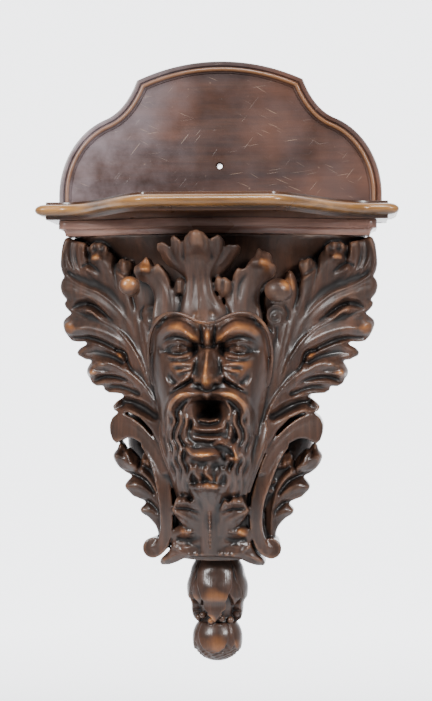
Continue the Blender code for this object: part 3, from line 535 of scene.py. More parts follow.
def makeBackboard(material):
    s = backSize
    # the moulding from its outer edge: distance in, thickness of the board there
    t = s["thickness"]
    section = [
        (0, 0), (0, t - 0.0030), (0.0003, t - 0.0023), (0.0010, t - 0.0020), (0.0042, t - 0.0020),
        (0.0046, t - 0.0023), (0.0049, t - 0.0034),
        (0.0054, t - 0.0036), (0.0058, t - 0.0030), (0.0062, t - 0.0018), (0.0068, t - 0.0008),
        (0.0076, t - 0.0002), (0.0086, t), (0.0096, t - 0.0003),
        (0.0104, t - 0.0010), (0.0110, t - 0.0021), (0.0114, t - 0.0026), (0.0121, t - 0.0028),
        (0.0125, t - 0.0034), (0.0128, t - s["recess"]), (0.0134, t - s["recess"]),
    ]
    rings = [[(x, -depth, z) for x, z in backRing(s, inwards)] for inwards, depth in section]
    board = boardFromOutline(rings[0])
    makeActive(board)
    bpy.ops.object.mode_set(mode="EDIT")
    bpy.ops.mesh.select_all(action="SELECT")
    for before, after in zip(rings, rings[1:]):
        bpy.ops.mesh.extrude_region_move(TRANSFORM_OT_translate={"value": (0, 0, 0)})
        order = {tuple(round(c, 5) for c in Vector(point)): i for i, point in enumerate(before)}
        bm = bmesh.from_edit_mesh(board.data)
        picked = [v for v in bm.verts if v.select]
        for vertex in picked:
            vertex.co = after[order[tuple(round(c, 5) for c in vertex.co)]]
        bmesh.update_edit_mesh(board.data)
    bpy.ops.mesh.select_all(action="SELECT")
    bpy.ops.mesh.normals_make_consistent(inside=False)
    bpy.ops.object.mode_set(mode="OBJECT")
    side = s["width"] / 2 - s["footInset"]
    combine(board, cutterBox((-side, -t + 0.0002, s["bottom"] + s["footInset"]), (side, -0.007, 0.0)), "UNION")
    deselectAll()
    bpy.ops.mesh.primitive_cylinder_add(vertices=40, radius=s["hole"], depth=0.06, location=(0, 0, s["holeRise"]),
        rotation=(math.pi / 2, 0, 0))
    shank = bpy.context.object
    deselectAll()
    bpy.ops.mesh.primitive_cone_add(vertices=44, radius1=0.0008, radius2=s["head"] * 2, depth=0.012,
        location=(0, -t + s["recess"] - 0.0014, s["holeRise"]), rotation=(math.pi / 2, 0, 0))
    head = bpy.context.object
    for cutter in (shank, head):
        makeActive(cutter)
        bpy.ops.object.transform_apply(location=True, rotation=True, scale=True)
        combine(board, cutter, "DIFFERENCE")
    makeActive(board)
    bpy.ops.object.shade_smooth_by_angle(angle=math.radians(32))
    finishPiece(board, "backboardPanel", "backboard", material)
    report("backboard")


# The pattern is in millimetres: x to the right, y up from the foot, z out from the wall.
carvingSize = {
    "foot": -0.3721, "height": 338, "grain": 1.12, "stripSteps": 60, "fine": 8, "broad": 70,
    "trianglesKept": 190000,
}


# Balls where the leaves roll up: centre and radii.
volutes = [((66, 279, 143), (13.5, 12, 12)), ((71, 277, 130), (9, 8, 14)), ((-80, 284, 147), (10.5, 9.6, 9.5)),
    ((-79, 280, 132), (8, 7, 14))]

# Each strip is a path, its half-widths and its section.
bandPath = [(70, 128, 89), (63, 119, 93), (56, 106, 97), (50.5, 88, 101), (46.5, 70, 101), (45, 52, 98),
    (46, 38, 94), (50, 24, 90), (57, 16, 88)]
bandWidths = (7, 7.5, 8, 7.6, 6.8, 6.4, 6, 6, 6)
bandDiscs = [((60, 20), 10.5, 87)]

# The leaves are reliefs: an outline, how far the face stands out (a row is y and z, falling away from the middle),
# how round the edge is, and the strokes of the gouge (path, half-width, rise in mm).
bigLeaf = {
    "outline": [
        (42, 108), (45, 124), (48, 148), (52, 170), (54, 190), (55, 210), (55, 232), (52, 250), (50, 268),
        (53, 284), (62, 291), (70, 291), (71.5, 294), (73, 299), (76, 301.5), (79.5, 298), (82, 292), (84, 286),
        (86, 289), (87, 296), (85.5, 301), (84.5, 305), (85, 309.5), (88, 312.5), (91, 311.5), (94, 314),
        (98, 313.5), (100, 310.5), (101.5, 306), (103, 309), (104.5, 315), (107, 320),
        (110, 322), (111, 326), (115, 329.5), (119, 331.5), (122, 330.5), (126, 332), (130, 330), (132, 326.5),
        (134, 328), (137, 331.5), (142, 333), (147, 334), (152, 336), (156, 338.5),
        (160, 337), (163, 330), (164.5, 318), (165, 309), (163.5, 302), (160.5, 296.5), (164, 293.5), (165.5, 287),
        (163.5, 279.5), (160, 275), (156.5, 272.5), (161, 270.5), (160, 266),
        (156, 261.5), (151, 258.5), (156, 256.5), (161, 252.5), (162.5, 248), (160, 241), (156.5, 234.5),
        (152, 230), (145, 229), (138, 229.5), (132, 226.8), (138, 225.2), (143, 222.5),
        (146.5, 218.5), (145, 214.8), (140, 212.8), (137, 210.8), (128, 210.2), (132, 206), (135, 200),
        (134.5, 195), (131, 190.5), (129.5, 186.5), (124, 183.5), (115.5, 184),
        (116.5, 180), (111, 176.8), (102, 176.5), (92, 175.5), (97, 171.5), (102, 168), (106.5, 163), (104, 158.5),
        (98, 157), (88, 157), (76, 152), (64, 140), (52, 120),
    ],
    "rows": [(100, 137), (340, 137)], "slope": 0.58, "middle": 0, "bow": 0, "edge": 4.5, "thickness": 24,
    "sides": (1, -1), "shift": 0,
    "strokes": [
        # the third lobe, and the tuck under it
        ([(66, 192), (80, 212), (96, 228), (115, 238), (135, 243), (152, 243)], (5, 9, 11, 12.5, 13, 13),
         (0, 2, 5, 7, 9, 8)),
        ([(92, 216), (99, 220), (110, 225.5), (120, 230), (132, 233), (146, 233), (155, 235)],
         (3, 4, 4.5, 4.5, 4, 3.5, 3), (-5, -7, -8, -8, -8, -7, -4)),
        ([(152, 250), (158, 247), (159, 240)], 4, (3, 4, 3)), ([(148, 247), (154, 250), (159, 251)], 1.3, -3),
        ([(150, 240), (156, 241.5), (161, 241)], 1.3, -3),
        ([(138, 243), (144, 242.5), (148, 241)], 4, 2.5),
        # the small fourth lobe
        ([(92, 208), (105, 213), (120, 218), (134, 219), (143, 218)], (5, 7, 8, 7.5, 6), (-7, -7, -5, -2, 0)),
        ([(128, 222), (136, 221), (142, 218)], 3, 2),
        # the fifth lobe, its rolled tip and the tuck under it
        ([(70, 180), (82, 190), (95, 199), (109, 206), (121, 205), (129, 200)], (4, 7, 8, 9, 9, 8),
         (1, 4, 7, 9, 9, 7)),
        ([(84, 190), (94, 196), (104, 203), (114, 208)], (3, 4, 5, 4), (-1, -2, -2.5, -1)),
        ([(102, 196.5), (113, 197.3), (122, 197), (129, 196)], (2.2, 2.8, 3.8, 4.6), (2, 4, 6.5, 6)),
        ([(125, 196), (131, 195.8)], 1.0, -2.5),
        ([(120, 203), (125, 209)], 1.5, -3), ([(114, 206), (117, 213)], 1.4, -2.5),
        ([(84, 186), (93, 190.5), (103, 192.5), (113, 193), (122, 190.5), (128, 188)],
         (2.5, 3.5, 3.8, 3.8, 3.4, 2.5), (-3, -5, -6, -6, -6, -4)),
        # the sixth and seventh lie far back
        ([(78, 176), (90, 181), (103, 182.5), (113, 181)], (5, 7, 7, 6), (-8, -8, -7, -6)),
        ([(82, 180), (96, 186), (112, 187)], 2.5, 1.5), ([(84, 176), (98, 180), (112, 179)], 1.6, 1.6),
        ([(60, 154), (72, 161), (84, 166), (95, 169)], (7, 9, 9, 7), (-12, -18, -18, -15)),
        ([(92, 163), (103, 163)], 6, -9), ([(68, 158), (82, 164), (98, 166)], 1.6, 3),
        # the second lobe, its rim over the first, and the tuck beside the hook
        ([(88, 238), (103, 256), (122, 270), (142, 278), (158, 284)], (6, 9, 11, 11, 10), (0, 2, 4, 5, 4)),
        ([(114, 257), (123, 263), (132, 269), (142, 268), (150, 264.5)], (4, 5, 6, 6, 4), (-4, -7, -9, -7, -4)),
        ([(134, 252), (143, 255.5), (151, 257.5)], 1.8, 2.4), ([(134, 255), (142, 259), (149, 261)], 2, -3),
        ([(82, 232), (87, 246), (94, 256), (102, 265), (110, 272), (120, 279), (130, 283), (140, 287), (148, 291),
         (155, 296)], 2.2, (0.5, 1, 1.6, 2.2, 2.6, 3, 3, 3, 2.6, 1.5)),
        ([(90, 262), (99, 272), (109, 281), (122, 288), (134, 292), (146, 297), (155, 301)], (5, 7, 8, 8, 8, 7, 5),
         (-1, -2, -3.5, -5, -5, -5, -3)),
        ([(146, 283), (154, 288)], 1.4, 2), ([(132, 276), (141, 281)], 1.4, 1.4),
        ([(118, 264), (134, 274), (152, 279)], 1.6, -1.4),
        # the first lobe: a hollow fan with a raised outer rim
        ([(126, 292), (140, 302), (148, 316), (150, 332)], (9, 12, 12, 10), (-1, -3, -5, -4)),
        ([(158, 299), (162, 309), (161.5, 322), (158, 334)], 4.5, (2, 4, 4.5, 3)),
        ([(124, 288), (136, 298), (143, 310), (145, 322), (143, 331)], 2.3, 2.4),
        ([(128, 288), (142, 299), (149, 311), (151, 323), (149, 333)], 2.3, 2.6),
        ([(134, 288), (148, 300), (155, 312), (156.5, 323), (154, 335)], 2.3, 2.6),
        ([(122, 296), (128, 300), (134, 303.5)], (2, 3.2, 5), (1, 3, 7)),
        ([(120, 301), (127, 307), (134, 310), (140, 307)], (1.8, 2.6, 3, 2), (-3, -6, -6, -3)),
        # the top lobe folds forward, with a scalloped crest
        ([(86, 258), (96, 280), (105, 296), (113, 308), (120, 315)], (6, 9, 11, 12.5, 10), (1, 3, 5, 8, 10)),
        ([(120, 315), (127, 315)], (6, 6), (5, 6)),
        ([(113, 318), (112, 327)], (4, 3.6), (3, 3)), ([(121, 322), (121, 330)], (4, 4), (2, 3)),
        ([(128, 322), (129.5, 329)], (3.6, 3.4), (2, 2)),
        ([(116.5, 322), (116, 331)], 1.4, -2.6), ([(125, 323), (125.5, 332)], 1.4, -2.6),
        ([(119, 322.5), (126, 323.5), (131, 320)], 2.4, -3),
        ([(132, 311), (132.5, 318), (135, 327)], (3, 4.5, 3), (-5, -9, -5)), ([(138, 316), (137.5, 325)], 3, 4),
        ([(108, 300), (104, 308), (105, 318)], 1.6, -1.6),
        # the small lobe with three tips, its fold, and the thin leaf
        ([(86, 262), (90, 282), (93, 296), (93, 308)], (5, 7, 8, 8), (1, 2, 4, 5)),
        ([(88.5, 305), (88, 313)], 1.5, -3.5), ([(95.5, 306), (96, 314)], 1.5, -3.5),
        ([(89, 292), (95, 295.5), (101, 300)], 1.9, 3.2), ([(90, 296.5), (96, 300.5), (101, 304)], 2, -3.2),
        ([(92, 264), (99, 284), (103, 300), (104, 312)], 2.6, (-1, -2.5, -4, -4)),
        ([(73, 262), (79, 280), (76.5, 297)], (4, 5, 3.4), (0, 2, 3)),
        ([(80, 262), (84, 276), (84, 290)], 2.6, (-2, -5, -7)),
        # the rosette beside the brow
        ([(71, 256), (69, 262.5), (61.5, 265), (54.5, 260), (54, 252), (60, 247), (66.5, 249), (67, 255),
         (62, 258)], 2.8, 3), ([(60.5, 254.5), (62, 254.5)], (4, 4), (3, 3)),
        ([(73, 250), (74.5, 258), (71, 266)], 2.2, -5), ([(58, 232), (61, 238), (59, 245)], 2.4, 3),
        ([(63, 228), (64, 238), (63, 244)], 1.8, -4),
        # stalks that run up into the hooks
        ([(44, 116), (49, 138), (54, 155), (60, 169), (68, 181), (76, 190), (84, 196.5), (90, 202), (93, 209),
         (97, 214)], (2.2, 2.2, 2.2, 2.2, 2.2, 2, 2, 2.4, 3.2, 4.6), (3, 4, 4, 4, 3.6, 3.2, 3, 3.4, 5, 8)),
        ([(47, 130), (50.5, 147), (55, 161.5), (61.5, 173.5), (69, 184)], 1.0, -2.4),
        ([(84, 200), (89, 208), (91, 216), (96, 220), (103, 220)], (1.8, 2.6, 3, 3, 2.2), (-4, -7, -8, -8, -5)),
        ([(66, 186), (73, 203), (78, 214), (86, 227), (94, 236), (102, 243), (110, 247.5), (117, 251), (123, 255.5),
         (128, 259.5), (134, 261.5)], (1.8, 2, 2, 2, 2, 2, 2, 2.2, 2.8, 3.8, 5), (1, 3.4, 3.8, 3.8, 3.2, 2.8, 2.8,
         3.2, 5, 7, 9)),
        ([(92, 240), (100, 246.5), (108, 251)], 1.3, 1.6),
        ([(106, 251), (113, 256), (120, 262), (127, 266.5), (134, 267.5)], (1.8, 2.4, 3, 3, 2.4),
         (-3, -6, -8, -8, -5)),
        ([(66, 184), (72, 206), (79, 228)], 1.8, 1.6), ([(62, 182), (68, 206), (74, 232), (80, 254)], 2, 1.6),
        ([(58, 176), (63, 200), (68, 226), (73, 250)], 2.2, 1.8), ([(54, 168), (59, 196), (64, 224)], 2, 1.4),
    ],
}

smallLeaf = {
    "outline": [
        (50, 26), (50, 60), (53, 80), (55, 92), (59, 100), (61, 110), (66, 115.5), (70, 114), (74, 116.5),
        (77.5, 112), (78.5, 104), (80, 103), (82, 110), (85, 113), (89, 117), (92, 119.5), (95, 117.5),
        (97, 122.5), (100, 125), (103, 122.5), (104, 118), (107, 115), (108.5, 111), (107, 106), (104, 101),
        (100, 97), (95, 93.5), (90, 91.5), (88, 89), (91, 87.5), (94, 84), (96, 80.5),
        (94.5, 77), (91, 73.5), (87, 69.5), (81, 67.5), (75, 64.5), (73, 62), (76, 60.5), (79, 57.5), (79, 54),
        (76, 51), (71, 48.5), (67, 44.5), (63, 39.5), (61, 34), (60, 26),
    ],
    "rows": [(20, 74), (60, 78), (125, 76)], "slope": 0.25, "middle": 0, "bow": 0, "edge": 4, "thickness": 20,
    "sides": (1, -1), "shift": 0,
    "strokes": [
        ([(56, 30), (57, 50), (60, 68), (66, 84), (76, 96), (88, 104)], (2.5, 3, 4, 5, 6, 8), (2, 3, 4, 5, 6, 5)),
        ([(70, 86), (82, 98), (94, 107), (103, 111)], (6, 9, 10, 9), (1, 4, 7, 8)),
        ([(90, 110), (93.5, 115)], (3.6, 3.6), (4, 6)), ([(97, 111), (98.5, 124)], 1.6, -4.5),
        ([(84, 103), (87, 113)], 1.5, -2.5),
        ([(64, 74), (74, 86), (86, 92), (98, 96.5)], (2.5, 4, 4, 2.5), (-5, -9, -9, -5)),
        ([(100, 100), (104, 106), (105, 113)], 2, 2),
        ([(60, 62), (72, 74), (84, 80), (93, 80)], (5, 7, 8, 7), (1, 3, 5, 4)), ([(85, 87), (92, 84)], 1.4, -3),
        ([(64, 70), (76, 80), (88, 84.5)], 1.8, 2), ([(66, 66), (78, 73), (90, 76)], 1.4, -1.6),
        ([(60, 55), (68, 63), (76, 66)], (2.5, 4, 2.5), (-3, -7, -6)),
        ([(58, 46), (68, 54), (77, 56)], (4, 6, 6), (0, 3, 4)), ([(60, 46), (68, 51), (75, 53)], 1.4, -1.6),
        ([(64, 102), (70, 105), (75, 107)], (5.5, 8, 6), (6, 11, 8)), ([(66.5, 98), (67, 111)], 1.4, -3.5),
        ([(72.5, 99), (73, 112)], 1.4, -3.5), ([(80, 94), (79.5, 108)], 2.8, -7),
        ([(56, 85), (58.5, 86)], (3.4, 3.4), (5, 5)), ([(55, 76), (56.5, 77)], (3, 3), (4, 4)),
        ([(62, 40), (59, 56), (64, 74), (72, 88)], 1.5, -1.8),
    ],
}

plume = {
    "outline": [
        (-33, 246), (-33, 254), (-30, 262), (-29, 270), (-28, 276), (-26, 282), (-25, 289), (-27, 295), (-31, 300),
        (-34, 305), (-37, 313), (-39, 322), (-39.5, 330), (-36, 333.5), (-33, 331),
        (-30, 329), (-27.5, 325.5), (-25, 329), (-24, 332), (-21, 333), (-19, 336.5), (-15.5, 336), (-13, 338),
        (-9.5, 336), (-6, 335.5), (-4, 332), (-2, 331), (-1, 326), (1, 329.5),
        (4, 331), (8, 333.5), (11, 331), (12, 325), (11, 318), (8, 311), (5, 305), (2, 299), (-1, 293), (1, 286),
        (2, 280), (5, 274), (9, 269), (13, 264), (17, 259), (21, 252), (21, 246),
    ],
    "rows": [(244, 150), (268, 141), (290, 137), (306, 144), (320, 156), (330, 163), (338, 164)], "slope": 0,
    "middle": -12, "bow": 0.018, "edge": 2.6, "thickness": 46, "sides": (1,), "shift": 0,
    "strokes": [
        ([(-12, 314), (-12, 323), (-12, 332)], (14, 17, 14), (1, 8, 7)),
        ([(-19, 319), (-20, 327), (-18, 335)], 1.8, -3.5), ([(-5, 319), (-4.5, 327), (-7, 335)], 1.8, -3.5),
        ([(-12, 326), (-12.5, 336)], 1.2, -1.5),
        ([(-27, 308), (-26.5, 316), (-26.5, 328)], 2.0, -5), ([(2, 308), (0.5, 316), (0, 328)], 2.0, -5),
        ([(-33, 314), (-32.5, 322), (-31.5, 331)], 1.5, -3), ([(6, 314), (6, 322), (6, 331)], 1.5, -3),
        ([(-12.5, 254), (-12, 280), (-13, 312)], 1.6, 1.8),
        ([(-20, 258), (-17, 280), (-18, 300), (-24, 314)], 2, -1.8),
        ([(6, 258), (-4, 276), (-5, 298), (0, 312)], 2, -1.8),
        ([(-27, 262), (-23, 280), (-25, 300), (-32, 314)], 1.8, 1.4),
        ([(13, 258), (2, 274), (-1, 296), (5, 312)], 1.8, 1.4), ([(-9, 296), (-12, 286), (-11, 274)], 1.4, -2.5),
        ([(-16, 257), (-15, 252)], 4, 2), ([(0, 258), (4, 254)], 4, 2),
    ],
}
plumeWings = {
    "outline": [(-26, 292), (-35, 299), (-43, 303.5), (-49, 310), (-51, 316), (-54.5, 320), (-54, 326),
        (-48, 327.5), (-43, 324.5), (-38, 320), (-32, 314), (-26, 308), (2, 308), (7, 315), (12, 321),
                (17, 325), (21, 324), (27, 325), (26.5, 319), (22, 312), (17, 305), (11, 298), (3, 292)],
    "rows": [(292, 138), (328, 160)], "slope": 0.55, "middle": -12, "bow": 0, "edge": 2.2, "thickness": 40,
    "sides": (1,), "shift": 0,
    "strokes": [
        ([(-34, 303), (-41, 311), (-46, 318)], (3, 4.4, 3), (2, 4, 2)), ([(-36, 307), (-42, 315)], 1.2, -2.5),
        ([(8, 304), (14, 312), (19, 318)], (3, 4.4, 3), (2, 4, 2)), ([(10, 308), (16, 316)], 1.2, -2.5),
    ],
}
crownRight = {
    "outline": [
        (21, 246), (18, 258), (14, 266), (13, 272), (16, 276), (19, 281), (20, 288), (21, 294), (24, 300),
        (27, 302.5), (29, 300.5), (33, 301), (36, 306), (39, 310), (42, 311.5), (44, 316),
        (45, 320.5), (47.5, 321.5), (49, 318), (52, 319), (55, 316.5), (57.5, 317), (58.5, 312), (59, 306.5),
        (62.5, 305), (63, 299), (61, 294), (57, 291), (53, 289), (49.5, 286), (46.5, 281),
        (45.5, 274), (46, 267), (48, 262), (50, 246),
    ],
    "rows": [(244, 138), (268, 133), (286, 131), (300, 135), (312, 139), (321, 136)], "slope": 0, "middle": 32,
    "bow": 0.005, "edge": 3.2, "thickness": 44, "sides": (1,), "shift": 0,
    "strokes": [
        ([(30, 262), (36, 280), (44, 294), (52, 300)], (8, 11, 12, 10), (0, 2, 3, 4)),
        ([(43, 305), (50, 307), (56, 305)], (6, 8.5, 6), (5, 10, 6)),
        ([(46.5, 304), (47, 311), (46, 318)], 1.3, -3.5), ([(51.5, 304), (52, 311), (52, 318)], 1.3, -3.5),
        ([(26, 270), (28, 286), (36, 297)], 3, -1.6), ([(30, 300), (36, 302), (42, 309)], 2.4, 1.6),
        ([(22, 262), (23, 280), (27, 294)], 2, 1.4),
    ],
}
crownLeft = {
    "outline": [
        (-59, 246), (-58, 262), (-57, 270), (-59, 279), (-63, 286), (-69, 288), (-75, 292), (-78, 298),
        (-77, 303.5), (-72, 306), (-68, 309.5), (-64.5, 313.5), (-62, 309), (-59.5, 303),
        (-56, 304), (-53, 306.5), (-50, 303), (-46, 298), (-42.5, 290), (-41, 284), (-35, 279), (-31, 272),
        (-30, 266), (-32, 258), (-36, 246),
    ],
    "rows": [(244, 138), (268, 133), (286, 131), (300, 136), (312, 138)], "slope": 0, "middle": -46, "bow": 0.005,
    "edge": 3.2, "thickness": 44, "sides": (1,), "shift": 0,
    "strokes": [
        ([(-42, 262), (-48, 280), (-58, 292), (-66, 298)], (8, 11, 12, 9), (0, 2, 3, 4)),
        ([(-74, 299), (-69, 300), (-64, 300)], (5, 7.5, 6), (4, 9, 5)), ([(-66, 302), (-65, 311)], 1.4, -2.5),
        ([(-60, 294), (-58, 303)], 1.6, -2.5),
        ([(-40, 266), (-44, 282), (-52, 296)], 2.6, -1.6), ([(-36, 262), (-38, 276), (-44, 290)], 2, 1.4),
        ([(-70, 298), (-73, 303)], 1.2, -2),
    ],
}
buds = {
    "outline": [(-37, 276), (-37, 284), (-35, 290), (-31.5, 293), (-28, 290.5), (-26, 285), (-26, 278), (-30, 272),
        (11, 268), (7, 276), (3.5, 281), (3, 287), (4.5, 292), (7, 294), (10, 291.5),
             (13, 293), (16, 291), (19, 288), (19.5, 281), (17, 272)],
    "rows": [(268, 130), (280, 135), (294, 137)], "slope": 0, "middle": 0, "bow": 0, "edge": 2.4, "thickness": 40,
    "sides": (1,), "shift": 0,
    "strokes": [([(-31.5, 278), (-31.5, 288)], (5, 4.6), (4, 4)), ([(-31.5, 284), (-31.5, 293)], 1.0, -2),
        ([(8, 280), (7.5, 290)], (3.4, 3.2), (2.4, 2.4)), ([(14, 278), (15, 288)], (3.4, 3.2), (2.4, 2.4)),
        ([(11, 280), (10.5, 293)], 1.3, -2.6)],
}

footMiddle = {
    "outline": [
        (-9, 12), (-9.5, 40), (-9.5, 54), (-12, 62), (-15, 70), (-17, 78), (-19, 83), (-18.5, 88.5), (-14, 87),
        (-9, 89.5), (-4, 89), (0, 91), (4, 89), (9, 89.5), (14, 87), (17.5, 88.5), (18, 83), (15.5, 77),
        (12.5, 70), (10.5, 62), (9.5, 54), (9.5, 40), (9, 12),
    ],
    "rows": [(12, 92), (40, 103), (58, 111), (70, 121), (80, 134), (86, 142), (91, 143)], "slope": 0, "middle": -3,
    "bow": 0.02, "edge": 2.6, "thickness": 40, "sides": (1,), "shift": -4,
    "strokes": [
        ([(-10, 84), (0, 86.5), (10, 84)], (5, 6, 5), (3, 5, 3)), ([(-5, 78), (-4.5, 90)], 1.2, -2.5),
        ([(5, 78), (4.5, 90)], 1.2, -2.5), ([(-14, 76), (-12, 86)], 1.6, -3), ([(14, 76), (12, 86)], 1.6, -3),
        ([(0, 60), (0, 72), (0, 80)], 2.2, 1.6), ([(-6, 60), (-9, 72), (-12, 82)], 2.2, -2),
        ([(6, 60), (9, 72), (12, 82)], 2.2, -2), ([(-5.6, 14), (-5.8, 38), (-5.2, 58)], 1.6, -2),
        ([(6, 14), (6.2, 38), (5.8, 58)], 1.6, -2),
    ],
}
footUpper = {
    "outline": [
        (2, 34), (6, 44), (9, 56), (11, 64), (14, 70), (15.5, 72.5), (18, 69), (21, 71), (24, 75), (27.5, 73.5),
        (30, 75), (33, 73.5), (35, 69), (37, 63), (39, 61), (37, 56), (33, 50), (28, 44), (20, 38), (12, 32),
    ],
    "rows": [(32, 97), (50, 106), (62, 116), (70, 123), (76, 123)], "slope": 0, "middle": 0, "bow": 0.003,
    "edge": 2.6, "thickness": 30, "sides": (1, -1), "shift": -3,
    "strokes": [
        ([(19, 68), (25, 70), (31, 69)], (4, 6, 5), (3, 6, 4)), ([(22, 64), (22.5, 74)], 1.2, -3),
        ([(28, 65), (28.5, 75)], 1.2, -3), ([(12, 58), (22, 61.5), (34, 62.5)], (2.4, 3.2, 2.4), (-4, -8, -6)),
        ([(12, 44), (22, 51), (34, 58)], (4, 5.5, 4), (0, 3, 3)), ([(12, 50), (20, 56), (28, 59)], 2, -2.4),
        ([(8, 46), (11, 58), (16, 67)], 1.8, -2),
    ],
}
footLower = {
    "outline": [
        (4, 11), (18, 11), (28, 9.5), (36, 5), (44, 2), (52, 1.5), (54, 4.5), (52, 9), (46, 14), (42, 20), (40, 26),
        (40, 34), (37, 41), (31, 44), (25, 42), (20, 43), (16, 40), (10, 36), (5, 30),
    ],
    "rows": [(2, 84), (14, 90), (40, 98)], "slope": 0, "middle": 0, "bow": 0.002, "edge": 2.6, "thickness": 30,
    "sides": (1, -1), "shift": -3,
    "strokes": [
        ([(24, 37), (29, 38), (32, 36)], (4.5, 6, 4.5), (4, 8, 4)), ([(18.5, 38), (20.5, 38)], (3.6, 3.6), (5, 5)),
        ([(25.5, 34), (26, 41)], 1.1, -3), ([(16, 30), (24, 28), (33, 29)], (4, 6, 5), (-3, -7, -5)),
        ([(32, 18), (37, 21), (39, 23)], (2.4, 3.4, 2.6), (2, 5, 3)),
        ([(22, 16), (34, 14), (48, 7)], (3, 5, 5), (1, 3, 4)), ([(26, 18), (36, 11), (48, 5)], 1.3, -2),
        ([(12, 22), (22, 24), (32, 22)], 3, -3),
        ([(8, 14.5), (9.5, 14.5)], (3.2, 3.2), (4, 4)), ([(14.5, 14), (16, 14)], (3.2, 3.2), (4, 4)),
        ([(21, 13.6), (22.5, 13.4)], (3, 3), (3.4, 3.4)),
    ],
}
bandEnd = {
    "outline": [
        (44, 96), (48, 108), (54, 121), (62, 133), (72, 143), (82, 150.5), (92, 155.5), (101, 156), (106.5, 151.5),
        (109.5, 144), (109, 136), (106.5, 129), (102, 125), (97, 128), (91, 131),
        (84, 131), (76, 127), (68, 119), (60, 108), (54, 96),
    ],
    "rows": [(90, 128), (160, 128)], "slope": 0.52, "middle": 0, "bow": 0, "edge": 1.6, "thickness": 58,
    "sides": (1, -1), "shift": 0,
    "strokes": [([(45, 98), (49, 109), (55, 121), (63, 132.5), (73, 142.5), (83, 149.6), (93, 154), (101, 154.5)],
        1.7, 1.8), ([(50, 104), (55, 115.5), (63, 127), (73, 137), (84, 144.6), (97, 149)], 1.2, -1.3)],
}
leaves = [bigLeaf, smallLeaf, plumeWings, buds, crownRight, crownLeft, plume, footLower, footUpper, footMiddle,
    bandEnd]

footShift = -3
footBeads = [((-3.5, 22 + 4.4 * i, 102 + 1.2 * i), (1.6, 1.9, 2.8)) for i in range(9)]

# The mask's forms are given about its own centre line.
maskShift = -2.5

headSize = {
    "low": (-64, 56), "high": (64, 264), "base": 96, "square": 2.6, "round": 0.6, "relief": 1.15, "thickness": 44,
}
